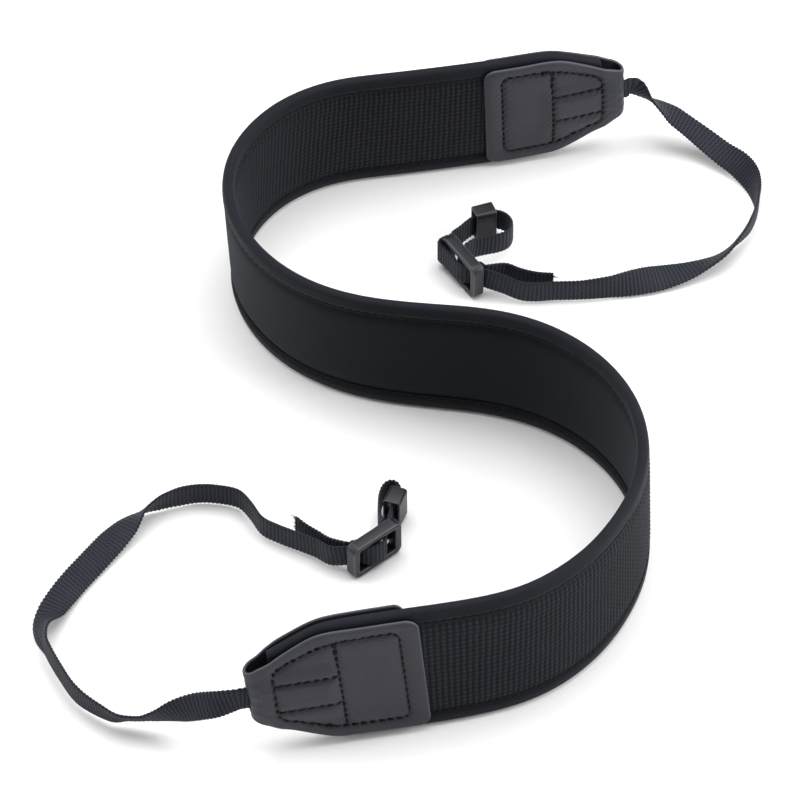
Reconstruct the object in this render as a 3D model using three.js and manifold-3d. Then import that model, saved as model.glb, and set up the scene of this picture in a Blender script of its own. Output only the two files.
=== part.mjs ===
// Camera neck strap: a flat neoprene pad standing on its long edge in an S, bound along both edges,
// with a folded leather tab over each end. A narrow webbing leaves each tab, twists along the
// surface and is threaded through a slider and a keeper into an end loop.
// Millimetres, +Z up. Every run is worked out from the tables and sizes below.
import * as THREE from "three";
import { mergeVertices } from "three/addons/utils/BufferGeometryUtils.js";
import Module from "manifold-3d";

const wasm = await Module();
wasm.setup();

// Pad
const PAD_WIDTH = 55;
const PAD_END = 9; // from the tip of a tab's fold to the end of the pad
const PAD_TAPER_START = 27;
const PAD_TAPER_SLOPE = 0.56;
const TAPER_EASE = 5;
const FOAM_FACE = 2.1; // from the strap's middle plane to the smooth side
const FOAM_BACK = 1.2; // from the middle plane to the side under the mesh
const FOAM_EDGE = 1.1; // half thickness where the binding grips it
const FOAM_INSET = 1.2; // from the edge of the binding to the edge of the foam
const FACING_NEAR = 1.5;
const FACING_FAR = 2.2;

// Binding
const BINDING_FACE = 7.5; // how far it laps onto each side
const BINDING_OUTER = 2.2; // half thickness outside
const BINDING_INNER = 1.5; // half thickness inside
const LAP_GAP = 0.5; // between the binding's lap and the raised middle of the pad

// Leather tabs
const LEATHER = 1.1;
const LEAF_HALF = 25.2; // half height at the wide end
const LEAF_TAPER_START = 27;
const LEAF_TAPER_SLOPE = 0.52;
const LEAF_CORNER = 4.5;
const LEAF_CLEAR = 2.5; // from the middle plane to the inside of a leaf
const LEAF_BULGE = 1.5; // more room in the front leaf, where the webbing lies under it
const BULGE_START = 35;
const BULGE_FULL = 27;
const SLOT_CLEAR = 0.9; // room round the webbing in the fold's slot
const TABS = {
  upper: { front: 54, back: 55 },
  lower: { front: 60, back: 58 },
};

// Webbing
const WEBBING_WIDTH = 10;
const WEBBING_THICK = 1.2;
const WEBBING_STEP = 5;
const GAP = 0.3;
const SEWN_IN = 27; // length of webbing inside a tab
const WEBBING_HEIGHT = PAD_WIDTH / 2 - 2; // it lies a little below the middle of a tab

// Slider and keeper
const SLIDER = { length: 22, height: 15, depth: 4.6, end: 2.8, corner: 2.6 };
const SLIDER_WINDOW = WEBBING_WIDTH + 2 * GAP;
const SLIDER_Z = SLIDER.height / 2 + 0.1;
const BAR = { radius: 1.1, back: -0.6 };
const KEEPER = { length: 8, thick: 6.4, height: 13, wall: 1 };
const KEEPER_Z = KEEPER.height / 2 + 0.1;

const COLOURS = {
  neoprene: { color: 0x17181b, roughness: 0.85, metalness: 0 },
  mesh: { color: 0x1f2023, roughness: 0.9, metalness: 0 },
  binding: { color: 0x1a1b1e, roughness: 0.7, metalness: 0 },
  leather: { color: 0x37373d, roughness: 0.5, metalness: 0 },
  webbing: { color: 0x1d1f24, roughness: 0.75, metalness: 0 },
  plastic: { color: 0x333338, roughness: 0.35, metalness: 0 },
};

// The pad's run seen from above, from the upper tab's fold to the lower one's: each row is one
// section with its length, how far it turns (to the left is positive), and at its end how far the
// top edge leans to the left of the run and how far it rakes ahead along it.
const START = { x: 83.8, y: 137.1, heading: 200, lean: 3, rake: 3 };
const PAD_RUN = [
  { length: 54, turn: -8.5, lean: 4, rake: 3 },
  { length: 46.5, turn: -3, lean: 4, rake: 0 },
  { length: 24, turn: 24.5, lean: 3, rake: 0 },
  { length: 24, turn: 27, lean: 1, rake: 0 },
  { length: 24, turn: 26, lean: -2, rake: 0 },
  { length: 24, turn: 25, lean: -4, rake: 0 },
  { length: 24, turn: 21, lean: -5, rake: 0 },
  { length: 23, turn: 21, lean: -5, rake: 0 },
  { length: 24, turn: 17, lean: -4, rake: 0 },
  { length: 24, turn: 3, lean: -3, rake: 0 },
  { length: 24, turn: -15, lean: -2, rake: 0 },
  { length: 26, turn: -22, lean: -2, rake: 0 },
  { length: 24, turn: -21, lean: -2, rake: 0 },
  { length: 24, turn: -22, lean: -2, rake: 0 },
  { length: 25, turn: -21, lean: -2, rake: 0 },
  { length: 25, turn: -14, lean: -3, rake: 0 },
  { length: 24, turn: -18, lean: -4, rake: 0 },
  { length: 24, turn: -22, lean: -4, rake: 0 },
  { length: 24, turn: -7, lean: -5, rake: 5 },
  { length: 61.5, turn: 0.5, lean: -5, rake: 6 },
];
const SMOOTH = 10; // half the length over which each turn is eased in

// Webbing runs: the middle of the tape, and how far its first top edge leans to the left of travel.
const UPPER_OUT = [
  { x: 92, y: 135.6, z: 20.8, lean: -40 },
  { x: 98, y: 134.2, z: 16.8, lean: -70 },
  { x: 103, y: 132.5, z: 13.5, lean: -90 },
  { x: 112, y: 128.5, z: 8, lean: -95 },
  { x: 120, y: 122.5, z: 5, lean: -102 },
  { x: 127, y: 115.5, z: 4.6, lean: -122 },
  { x: 131.5, y: 106, z: 5, lean: -152 },
  { x: 132.5, y: 95, z: 5.2, lean: -178 },
  { x: 129.5, y: 84, z: 5.2, lean: -174 },
  { x: 123.5, y: 74.5, z: 5, lean: -155 },
  { x: 117, y: 68, z: 4.1, lean: -132 },
  { x: 108, y: 64, z: 2.3, lean: -104 },
  { x: 98, y: 59.6, z: 2.8, lean: -75 },
  { x: 88, y: 55.4, z: 4.4, lean: -42 },
  { x: 77, y: 51.8, z: 5.3, lean: -10 },
  { x: 66, y: 50.2, z: 5.2, lean: 0 },
  { x: 56, y: 49.8, z: 5.2, lean: 0 },
  { x: 50, y: 49.2, z: 5.2, lean: 0 },
  { x: 44, y: 49.4, z: 5.6, lean: 0 },
  { x: 37.5, y: 52, z: 6.6, lean: 0 },
];
const UPPER_LOOP = [
  { x: 19.6, y: 73.8, z: 7.2, lean: 0 },
  { x: 22, y: 76.4, z: 7, lean: 0 },
  { x: 24.6, y: 79.6, z: 6.8, lean: 0 },
  { x: 27.4, y: 82.4, z: 6.6, lean: 0 },
  { x: 30.9, y: 84.3, z: 6.6, lean: 0 },
  { x: 34.9, y: 85.4, z: 6.6, lean: 0 },
  { x: 38.5, y: 84.2, z: 6.5, lean: 0 },
  { x: 40.8, y: 81.3, z: 6.4, lean: 0 },
  { x: 41, y: 77.9, z: 6.4, lean: 0 },
  { x: 39.4, y: 75, z: 6.4, lean: 0 },
  { x: 36, y: 73, z: 6.5, lean: 0 },
  { x: 31.5, y: 71.6, z: 6.7, lean: 0 },
  { x: 27.5, y: 70, z: 7, lean: 0 },
];
const UPPER_TAIL = [
  { x: 38.5, y: 58, z: 6.4, lean: 0 },
  { x: 44, y: 56.4, z: 5.5, lean: 0 },
  { x: 50, y: 54.8, z: 5.2, lean: 0 },
  { x: 56, y: 54.2, z: 5.2, lean: 0 },
];
const LOWER_OUT = [
  { x: -62, y: -161.6, z: 23.2, lean: -24 },
  { x: -68.5, y: -159.6, z: 19.4, lean: -30 },
  { x: -75, y: -157.8, z: 15, lean: -8 },
  { x: -80.5, y: -156.8, z: 11.5, lean: 18 },
  { x: -86.8, y: -155.8, z: 8.6, lean: 36 },
  { x: -93.8, y: -154.2, z: 7, lean: 34 },
  { x: -99.8, y: -151.6, z: 6, lean: 14 },
  { x: -110, y: -143, z: 5.4, lean: 2 },
  { x: -116.6, y: -132, z: 5.2, lean: 0 },
  { x: -121.9, y: -120.5, z: 5.2, lean: -2 },
  { x: -123.6, y: -111.5, z: 4.6, lean: -40 },
  { x: -120.4, y: -102, z: 3.4, lean: -92 },
  { x: -114.2, y: -90.8, z: 3.4, lean: -116 },
  { x: -108, y: -81.5, z: 3.5, lean: -118 },
  { x: -101.6, y: -71.8, z: 3.4, lean: -106 },
  { x: -96, y: -63.8, z: 3.4, lean: -78 },
  { x: -90.4, y: -58, z: 4.9, lean: -34 },
  { x: -84.6, y: -54.3, z: 5.3, lean: -12 },
  { x: -77.6, y: -51.2, z: 5.2, lean: 0 },
  { x: -70.6, y: -49.8, z: 5.2, lean: 0 },
  { x: -63.5, y: -50.3, z: 5.2, lean: 0 },
  { x: -56.8, y: -52.4, z: 5.2, lean: 0 },
  { x: -52.4, y: -58, z: 5.2, lean: 0 },
  { x: -48.4, y: -65, z: 5.2, lean: 0 },
  { x: -42.5, y: -68.9, z: 5.2, lean: 0 },
  { x: -36.5, y: -72, z: 5.3, lean: 0 },
  { x: -29.5, y: -76, z: 5.8, lean: 0 },
  { x: -24.4, y: -80.2, z: 6.7, lean: 0 },
];
const LOWER_LOOP = [
  { x: -4.1, y: -66.4, z: 6.9, lean: 0 },
  { x: -2.8, y: -61, z: 6.6, lean: 0 },
  { x: -1.6, y: -57.2, z: 6.6, lean: 0 },
  { x: -0.4, y: -53.8, z: 6.6, lean: 0 },
  { x: -0.5, y: -50.8, z: 6.6, lean: 0 },
  { x: -2.8, y: -49, z: 6.6, lean: 0 },
  { x: -5.5, y: -50.6, z: 6.6, lean: 0 },
  { x: -6.9, y: -54.6, z: 6.6, lean: 0 },
  { x: -7.2, y: -59.6, z: 6.6, lean: 0 },
  { x: -7, y: -64.6, z: 6.9, lean: 0 },
];
const LOWER_TAIL = [
  { x: -24.4, y: -75.8, z: 6, lean: 0 },
  { x: -28.9, y: -71.8, z: 5.4, lean: 0 },
  { x: -33, y: -68.4, z: 5.2, lean: 0 },
  { x: -36.4, y: -65, z: 5.2, lean: 0 },
];

// Where the sliders and keepers lie; along is the heading in which the main webbing runs through,
// and front is 1 where the slider's outer side is to the left of that heading.
const SLIDERS = {
  upper: { x: 23, y: 60.2, along: 122, front: 1 },
  lower: { x: -9, y: -77.5, along: 41, front: -1 },
};
const KEEPERS = {
  upper: { x: 31, y: 84.2, along: 20 },
  lower: { x: -1.7, y: -57.4, along: 70 },
};

// Threading, in a slider's own plan: a is along the slider, b is towards its outer side.
const OUTER_IN = [
  { a: -9.5, b: -3.55 },
  { a: -7.9, b: -3.3 },
  { a: -6.5, b: -2.1 },
  { a: -5.1, b: 0 },
  { a: -3.7, b: 1.7 },
  { a: -2.1, b: 2.6 },
  { a: 0, b: 2.95 },
];
const INNER_IN = [
  { a: -8, b: -4.8 },
  { a: -6.2, b: -4.3 },
  { a: -4.7, b: -3.1 },
  { a: -3.1, b: -1.2 },
  { a: -1.6, b: 0.65 },
  { a: 0, b: 1.42 },
];
const STRAIGHT_IN = [
  { a: 5.3, b: -5.6 },
  { a: 4.6, b: -3.1 },
  { a: 3.1, b: -1.2 },
  { a: 1.6, b: 0.65 },
];
const OVER_THE_END = [
  { a: 4, b: 3.05 },
  { a: 8.2, b: 3.3 },
  { a: 10.8, b: 3.5 },
  { a: 12.1, b: 2.4 },
  { a: 12.4, b: 0 },
  { a: 12.2, b: -2.6 },
];

const radians = THREE.MathUtils.degToRad;
const UP = new THREE.Vector3(0, 0, 1);

// The pad's middle line, one sample each millimetre, from headings that change evenly along each
// section and are then averaged over SMOOTH on both sides.
function walkPad() {
  const total = PAD_RUN.reduce((sum, row) => sum + row.length, 0);
  const ends = [{ s: 0, ...START }];
  for (const row of PAD_RUN) {
    const last = ends[ends.length - 1];
    ends.push({ ...row, s: last.s + row.length, heading: last.heading + row.turn });
  }
  const valueAt = (key, s) => {
    const at = THREE.MathUtils.clamp(s, 0, total);
    const i = Math.max(1, ends.findIndex((end) => end.s >= at));
    const [from, to] = [ends[i - 1], ends[i]];
    return THREE.MathUtils.mapLinear(at, from.s, to.s, from[key], to[key]);
  };
  const eased = (key, s) => {
    let sum = 0;
    for (let k = -SMOOTH; k <= SMOOTH; k++) sum += valueAt(key, s + k);
    return radians(sum / (2 * SMOOTH + 1));
  };
  const samples = [];
  let x = START.x;
  let y = START.y;
  for (let s = 0; s <= total; s++) {
    const heading = eased("heading", s);
    samples.push({ x, y, heading, lean: eased("lean", s), rake: eased("rake", s) });
    const half = eased("heading", s + 0.5);
    x += Math.cos(half);
    y += Math.sin(half);
  }
  return { total, samples };
}

const walk = walkPad();
const PAD_LENGTH = walk.total;

// The strap's own frame at a distance s: along the run, to its left (side) and up its width.
function frameAt(s) {
  const near = THREE.MathUtils.clamp(Math.floor(s), 0, PAD_LENGTH - 1);
  const [a, b] = [walk.samples[near], walk.samples[near + 1]];
  const t = s - near;
  const inside = THREE.MathUtils.clamp(t, 0, 1);
  const heading = THREE.MathUtils.lerp(a.heading, b.heading, inside);
  const lean = THREE.MathUtils.lerp(a.lean, b.lean, inside);
  const rake = THREE.MathUtils.lerp(a.rake, b.rake, inside);
  const along = new THREE.Vector3(Math.cos(heading), Math.sin(heading), 0);
  const flat = new THREE.Vector3(-Math.sin(heading), Math.cos(heading), 0);
  const up = UP.clone().multiplyScalar(Math.cos(lean)).addScaledVector(flat, Math.sin(lean));
  const side = flat.multiplyScalar(Math.cos(lean)).addScaledVector(UP, -Math.sin(lean));
  up.addScaledVector(along, Math.tan(rake));
  const foot = new THREE.Vector3(a.x, a.y, 0).lerp(new THREE.Vector3(b.x, b.y, 0), t);
  return { along, side, up, foot };
}

function onStrap(s, side, height) {
  const frame = frameAt(s);
  return frame.foot.addScaledVector(frame.side, side).addScaledVector(frame.up, height);
}

// Half the strap's height at a distance d from a fold's tip: straight, then tapered, with the
// corner between them rounded off.
function taper(d, full, start, slope) {
  const beyond = start - d;
  return full - ((beyond + Math.hypot(beyond, TAPER_EASE)) / 2) * slope;
}

// A closed body through rings of points that all follow the same outline.
function sweep(rings, outline) {
  const count = rings[0].length;
  const position = rings.flat().flatMap((p) => [p.x, p.y, p.z]);
  const index = [];
  for (let i = 0; i + 1 < rings.length; i++) {
    for (let j = 0; j < count; j++) {
      const a = i * count + j;
      const b = i * count + ((j + 1) % count);
      index.push(a, b, b + count, a, b + count, a + count);
    }
  }
  const last = (rings.length - 1) * count;
  const clockwise = THREE.ShapeUtils.isClockWise(outline);
  for (const face of THREE.ShapeUtils.triangulateShape(outline, [])) {
    const [a, b, c] = clockwise ? [...face].reverse() : face;
    index.push(c, b, a, last + a, last + b, last + c);
  }
  const geometry = new THREE.BufferGeometry();
  geometry.setAttribute("position", new THREE.Float32BufferAttribute(position, 3));
  geometry.setIndex(volume(position, index) < 0 ? index.reverse() : index);
  geometry.computeVertexNormals();
  return geometry;
}

function volume(position, index) {
  const corner = (i) => new THREE.Vector3().fromArray(position, 3 * i);
  let sum = 0;
  for (let i = 0; i < index.length; i += 3) {
    sum += corner(index[i]).dot(corner(index[i + 1]).cross(corner(index[i + 2]))) / 6;
  }
  return sum;
}

function solid(geometry) {
  const bare = geometry.clone();
  bare.deleteAttribute("normal");
  bare.deleteAttribute("uv");
  const merged = mergeVertices(bare, 1e-4);
  return new wasm.Manifold(
    new wasm.Mesh({
      numProp: 3,
      vertProperties: merged.attributes.position.array,
      triVerts: new Uint32Array(merged.index.array),
    }),
  );
}

function geometryOf(body) {
  const mesh = body.getMesh();
  const geometry = new THREE.BufferGeometry();
  geometry.setAttribute("position", new THREE.Float32BufferAttribute(mesh.vertProperties, 3));
  geometry.setIndex([...mesh.triVerts]);
  geometry.computeVertexNormals();
  return geometry;
}

// Distances along the pad: close together over the tabs, wider apart between them.
function padStations(from, to) {
  const stations = [];
  let s = from;
  while (s < to - 3) {
    stations.push(s);
    const end = Math.min(s, PAD_LENGTH - s);
    s += end < PAD_TAPER_START + 3 ? 6 : 8;
  }
  return [...stations, to];
}

function alongPad(outlineAt) {
  const rings = padStations(PAD_END, PAD_LENGTH - PAD_END).map((s) => {
    const d = Math.min(s, PAD_LENGTH - s);
    const half = taper(d, PAD_WIDTH / 2, PAD_TAPER_START, PAD_TAPER_SLOPE);
    const low = PAD_WIDTH / 2 - half;
    const high = PAD_WIDTH / 2 + half;
    return outlineAt(low, high).map(([side, height]) => onStrap(s, side, height));
  });
  const outline = outlineAt(0, PAD_WIDTH).map(([side, height]) => new THREE.Vector2(side, height));
  return sweep(rings, outline);
}

function foamOutline(low, high) {
  const lap = BINDING_FACE;
  return [
    [-0.5, low + FOAM_INSET],
    [0.5, low + FOAM_INSET],
    [FOAM_EDGE, low + FOAM_INSET + 1],
    [FOAM_BACK, low + lap + LAP_GAP],
    [FOAM_BACK, high - lap - LAP_GAP],
    [FOAM_EDGE, high - FOAM_INSET - 1],
    [0.5, high - FOAM_INSET],
    [-0.5, high - FOAM_INSET],
    [-FOAM_EDGE, high - FOAM_INSET - 1],
    [-FOAM_EDGE, high - lap - LAP_GAP],
    [-FOAM_FACE, high - lap - LAP_GAP - 2],
    [-FOAM_FACE, low + lap + LAP_GAP + 2],
    [-FOAM_EDGE, low + lap + LAP_GAP],
    [-FOAM_EDGE, low + FOAM_INSET + 1],
  ];
}

function facingOutline(low, high) {
  return [
    [FACING_NEAR, low + BINDING_FACE + LAP_GAP],
    [FACING_FAR, low + BINDING_FACE + LAP_GAP],
    [FACING_FAR, high - BINDING_FACE - LAP_GAP],
    [FACING_NEAR, high - BINDING_FACE - LAP_GAP],
  ];
}

// A channel over one edge: down from the edge where inward is -1, up from it where it is 1.
function bindingOutline(edge, inward) {
  return [
    [-BINDING_OUTER, BINDING_FACE],
    [-BINDING_OUTER, 1.3],
    [-1.1, 0],
    [1.1, 0],
    [BINDING_OUTER, 1.3],
    [BINDING_OUTER, BINDING_FACE],
    [BINDING_INNER, BINDING_FACE],
    [BINDING_INNER, 1.8],
    [0.8, 0.8],
    [-0.8, 0.8],
    [-BINDING_INNER, 1.8],
    [-BINDING_INNER, BINDING_FACE],
  ].map(([side, depth]) => [side, edge + inward * depth]);
}

// A tab's own distances: d inwards from the tip of the fold, whichever end of the strap it is.
function alongStrap(end, d) {
  return end === "upper" ? d : PAD_LENGTH - d;
}

function leafHalf(d, length) {
  const corner = Math.max(0, LEAF_CORNER - (length - d));
  const rounding = LEAF_CORNER - Math.sqrt(LEAF_CORNER ** 2 - corner ** 2);
  return taper(d, LEAF_HALF, LEAF_TAPER_START, LEAF_TAPER_SLOPE) - rounding;
}

function frontRoom(d) {
  return LEAF_CLEAR + LEAF_BULGE * (1 - THREE.MathUtils.smoothstep(d, BULGE_FULL, BULGE_START));
}

// The middle of the fold, and the inner radius that joins both leaves.
const FOLD_RADIUS = (2 * LEAF_CLEAR + LEAF_BULGE) / 2;
const FOLD_SIDE = LEAF_BULGE / 2;
const FOLD_CENTRE = FOLD_RADIUS + LEATHER;

// One leather piece: front leaf, round the fold, back leaf, each point with its inner and outer
// side as [d, side].
function leatherPath({ front, back }) {
  const steps = (length) => {
    const list = [length, length - 1, length - 2.5, length - LEAF_CORNER];
    for (let d = length - 10; d > FOLD_CENTRE + 3; d -= 6) list.push(d);
    return [...list, FOLD_CENTRE];
  };
  const path = steps(front).map((d) => ({
    inner: [d, frontRoom(d)],
    outer: [d, frontRoom(d) + LEATHER],
    half: leafHalf(d, front),
  }));
  for (const degrees of [110, 130, 150, 170, 190, 210, 230, 250]) {
    const [c, s] = [Math.cos(radians(degrees)), Math.sin(radians(degrees))];
    const at = (radius) => [FOLD_CENTRE + radius * c, FOLD_SIDE + radius * s];
    const outer = at(FOLD_RADIUS + LEATHER);
    path.push({ inner: at(FOLD_RADIUS), outer, half: leafHalf(outer[0], front) });
  }
  for (const d of steps(back).reverse()) {
    path.push({
      inner: [d, -LEAF_CLEAR],
      outer: [d, -LEAF_CLEAR - LEATHER],
      half: leafHalf(d, back),
    });
  }
  return path;
}

function tabGeometry(end) {
  const middle = PAD_WIDTH / 2;
  const place = ([d, side], height) => onStrap(alongStrap(end, d), side, height);
  const rings = leatherPath(TABS[end]).map(({ inner, outer, half }) => [
    place(outer, middle - half),
    place(outer, middle + half),
    place(inner, middle + half),
    place(inner, middle - half),
  ]);
  const outline = [
    [0, 0],
    [0, 1],
    [1, 1],
    [1, 0],
  ].map(([x, y]) => new THREE.Vector2(x, y));
  const leather = solid(sweep(rings, outline));
  return geometryOf(leather.subtract(slotCutter(end)));
}

// The slot in the fold that the webbing leaves by.
function slotCutter(end) {
  const box = new THREE.BoxGeometry(
    5,
    WEBBING_THICK + 2 * SLOT_CLEAR,
    WEBBING_WIDTH + 2 * SLOT_CLEAR,
  );
  const s = alongStrap(end, 0);
  const frame = frameAt(s);
  const middle = onStrap(s, FOLD_SIDE, WEBBING_HEIGHT);
  const turn = new THREE.Matrix4().makeBasis(frame.along, frame.side, frame.up);
  box.applyMatrix4(turn.setPosition(middle));
  return solid(box);
}

// A slider's own place for a threading point.
function onSlider(end, { a, b }, z = SLIDER_Z) {
  const { x, y, along, front } = SLIDERS[end];
  const heading = radians(along);
  const [c, s] = [Math.cos(heading), Math.sin(heading)];
  return { x: x + a * c - front * b * s, y: y + a * s + front * b * c, z, lean: 0 };
}

function mirrored(rows) {
  return rows.slice(0, -1).map(({ a, b }) => ({ a: -a, b })).reverse();
}

// The webbing inside a tab, from its sewn end to just outside the slot.
function insideTab(end) {
  const lyingAt = FACING_FAR + GAP + WEBBING_THICK / 2;
  const lean = end === "upper" ? -START.lean : PAD_RUN[PAD_RUN.length - 1].lean;
  const rows = [
    { d: SEWN_IN, side: lyingAt },
    { d: SEWN_IN - 8, side: lyingAt },
    { d: PAD_END + 1, side: lyingAt },
    { d: PAD_END - 4, side: (lyingAt + FOLD_SIDE) / 2 + 0.3 },
    { d: 0.5, side: FOLD_SIDE },
    { d: -4, side: FOLD_SIDE },
  ];
  return rows.map(({ d, side }) => {
    const p = onStrap(alongStrap(end, d), side, WEBBING_HEIGHT);
    return { x: p.x, y: p.y, z: p.z, lean };
  });
}

function webbingRows(end) {
  const thread = (rows) => rows.map((row) => onSlider(end, row));
  const outerOut = end === "upper" ? OVER_THE_END : mirrored(OUTER_IN);
  const innerBack = end === "upper" ? STRAIGHT_IN : mirrored(INNER_IN).reverse();
  const [out, loop, tail] =
    end === "upper" ? [UPPER_OUT, UPPER_LOOP, UPPER_TAIL] : [LOWER_OUT, LOWER_LOOP, LOWER_TAIL];
  return [
    ...insideTab(end),
    ...out,
    ...thread(OUTER_IN),
    ...thread(outerOut),
    ...loop,
    ...thread(innerBack),
    ...thread([...INNER_IN].reverse()),
    ...tail,
  ];
}

// A flat tape along its rows: the tape's width turns about the run by each row's lean.
function webbingGeometry(end) {
  const rows = webbingRows(end);
  const points = rows.map(({ x, y, z }) => new THREE.Vector3(x, y, z));
  const curve = new THREE.CatmullRomCurve3(points, false, "catmullrom", 0.5);
  const corners = [
    [-0.5, -0.5],
    [0.5, -0.5],
    [0.5, 0.5],
    [-0.5, 0.5],
  ];
  const rings = [];
  for (let i = 0; i + 1 < rows.length; i++) {
    const steps = Math.ceil(points[i].distanceTo(points[i + 1]) / WEBBING_STEP);
    for (let k = 0; k < steps; k++) rings.push(ringAt(i + k / steps));
  }
  rings.push(ringAt(rows.length - 1));
  return sweep(rings, corners.map(([x, y]) => new THREE.Vector2(x, y)));

  function ringAt(place) {
    const i = Math.min(Math.floor(place), rows.length - 2);
    const t = place / (rows.length - 1);
    const lean = radians(THREE.MathUtils.lerp(rows[i].lean, rows[i + 1].lean, place - i));
    const tangent = curve.getTangent(t);
    const left = new THREE.Vector3().crossVectors(UP, tangent).normalize();
    const up = new THREE.Vector3().crossVectors(tangent, left);
    const width = up.multiplyScalar(Math.cos(lean)).addScaledVector(left, Math.sin(lean));
    const face = new THREE.Vector3().crossVectors(tangent, width);
    const middle = curve.getPoint(t);
    return corners.map(([across, deep]) =>
      middle
        .clone()
        .addScaledVector(width, across * WEBBING_WIDTH)
        .addScaledVector(face, deep * WEBBING_THICK),
    );
  }
}

function roundedRectangle(width, height, radius) {
  const [w, h] = [width / 2, height / 2];
  const shape = new THREE.Shape();
  shape.moveTo(-w + radius, -h);
  shape.lineTo(w - radius, -h);
  shape.absarc(w - radius, -h + radius, radius, -Math.PI / 2, 0);
  shape.lineTo(w, h - radius);
  shape.absarc(w - radius, h - radius, radius, 0, Math.PI / 2);
  shape.lineTo(-w + radius, h);
  shape.absarc(-w + radius, h - radius, radius, Math.PI / 2, Math.PI);
  shape.lineTo(-w, -h + radius);
  shape.absarc(-w + radius, -h + radius, radius, Math.PI, 1.5 * Math.PI);
  return shape;
}

// A frame in its own X (along) and Y (up) plane with a round centre bar set back in its window.
function sliderGeometry() {
  const { length, height, depth, end, corner } = SLIDER;
  const outline = roundedRectangle(length, height, corner);
  outline.holes.push(roundedRectangle(length - 2 * end, SLIDER_WINDOW, 0.8));
  const frame = new THREE.ExtrudeGeometry(outline, {
    depth,
    bevelEnabled: false,
    curveSegments: 4,
  });
  frame.translate(0, 0, -depth / 2);
  const bar = new THREE.CylinderGeometry(BAR.radius, BAR.radius, SLIDER_WINDOW + 1, 8);
  bar.translate(0, 0, BAR.back);
  return geometryOf(solid(frame).add(solid(bar)));
}

// A square sleeve whose webbing runs through along its own X.
function keeperGeometry() {
  const { length, thick, height, wall } = KEEPER;
  const block = new THREE.BoxGeometry(length, height, thick);
  const window = new THREE.BoxGeometry(length + 2, height - 2 * wall, thick - 2 * wall);
  return geometryOf(solid(block).subtract(solid(window)));
}

function mesh(name, geometry, look) {
  const made = new THREE.Mesh(geometry, new THREE.MeshStandardMaterial(COLOURS[look]));
  made.name = name;
  return made;
}

// Stand a piece made in its own X-Y plane upright at its place, its outer side to the front.
function stand(piece, { x, y, along, front = 1 }, z) {
  piece.rotation.set(Math.PI / 2, 0, 0);
  const turn = new THREE.Group();
  turn.position.set(x, y, z);
  turn.rotation.z = radians(front > 0 ? along + 180 : along);
  turn.add(piece);
  return turn;
}

const pad = new THREE.Group();
pad.add(
  mesh("pad_foam", alongPad(foamOutline), "neoprene"),
  mesh("mesh_facing", alongPad(facingOutline), "mesh"),
  mesh("binding_top", alongPad((low, high) => bindingOutline(high, -1)), "binding"),
  mesh("binding_bottom", alongPad((low) => bindingOutline(low, 1)), "binding"),
  mesh("leather_tab_upper", tabGeometry("upper"), "leather"),
  mesh("leather_tab_lower", tabGeometry("lower"), "leather"),
);

const ends = new THREE.Group();
for (const end of ["upper", "lower"]) {
  ends.add(
    mesh(`webbing_${end}`, webbingGeometry(end), "webbing"),
    stand(mesh(`slider_${end}`, sliderGeometry(), "plastic"), SLIDERS[end], SLIDER_Z),
    stand(mesh(`keeper_${end}`, keeperGeometry(), "plastic"), KEEPERS[end], KEEPER_Z),
  );
}

// The origin is the middle of the pad's own box, at the surface it stands on.
const strap = new THREE.Group();
const box = new THREE.Box3().setFromObject(pad);
const middle = box.getCenter(new THREE.Vector3());
strap.position.set(-middle.x, -middle.y, -box.min.z);
strap.add(pad, ends);

export default strap;
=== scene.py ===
"""A camera neck strap lying in an S: a bound neoprene pad standing on its long edge, stitched
leather tabs over its ends, and ribbed tape threaded through a slider and a keeper at each end."""

import math

import bmesh
import bpy
import numpy as np
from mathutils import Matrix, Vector


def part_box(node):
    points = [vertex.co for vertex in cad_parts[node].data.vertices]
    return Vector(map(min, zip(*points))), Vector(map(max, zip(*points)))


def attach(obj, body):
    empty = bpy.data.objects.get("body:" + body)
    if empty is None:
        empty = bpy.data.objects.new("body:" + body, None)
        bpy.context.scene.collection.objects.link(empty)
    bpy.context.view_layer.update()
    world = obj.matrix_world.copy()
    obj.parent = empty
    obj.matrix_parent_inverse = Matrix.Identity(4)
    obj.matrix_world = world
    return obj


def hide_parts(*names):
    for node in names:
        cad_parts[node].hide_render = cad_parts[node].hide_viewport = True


bl_info = {
    "name": "Camera Neck Strap",
    "version": (1, 0, 0),
    "blender": (4, 5, 0),
    "location": "3D View > Sidebar > Strap",
    "description": "Builds a bound neck strap with leather tabs and ribbed tape round its solids",
    "category": "Add Mesh",
}

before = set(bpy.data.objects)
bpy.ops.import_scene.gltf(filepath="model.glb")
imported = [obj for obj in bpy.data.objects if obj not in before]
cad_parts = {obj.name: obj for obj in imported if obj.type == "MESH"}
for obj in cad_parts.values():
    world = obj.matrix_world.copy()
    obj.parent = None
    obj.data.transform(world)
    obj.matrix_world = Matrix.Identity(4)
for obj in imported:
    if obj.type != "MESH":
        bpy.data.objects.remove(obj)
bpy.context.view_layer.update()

MM = 0.001
BODY = "root"

# The pad's run from the upper tab's fold to the lower one's, in millimetres and degrees: each row
# is one section's length, how far it turns, and at its end how far the top edge leans to the left
# and rakes ahead.
PAD_START = {"x": 83.8, "y": 137.1, "heading": 200.0, "lean": 3.0, "rake": 3.0}
PAD_RUN = (
    (54, -8.5, 4, 3),
    (46.5, -3, 4, 0),
    (24, 24.5, 3, 0),
    (24, 27, 1, 0),
    (24, 26, -2, 0),
    (24, 25, -4, 0),
    (24, 21, -5, 0),
    (23, 21, -5, 0),
    (24, 17, -4, 0),
    (24, 3, -3, 0),
    (24, -15, -2, 0),
    (26, -22, -2, 0),
    (24, -21, -2, 0),
    (24, -22, -2, 0),
    (25, -21, -2, 0),
    (25, -14, -3, 0),
    (24, -18, -4, 0),
    (24, -22, -4, 0),
    (24, -7, -5, 5),
    (61.5, 0.5, -5, 6),
)
SMOOTH = 10
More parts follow.
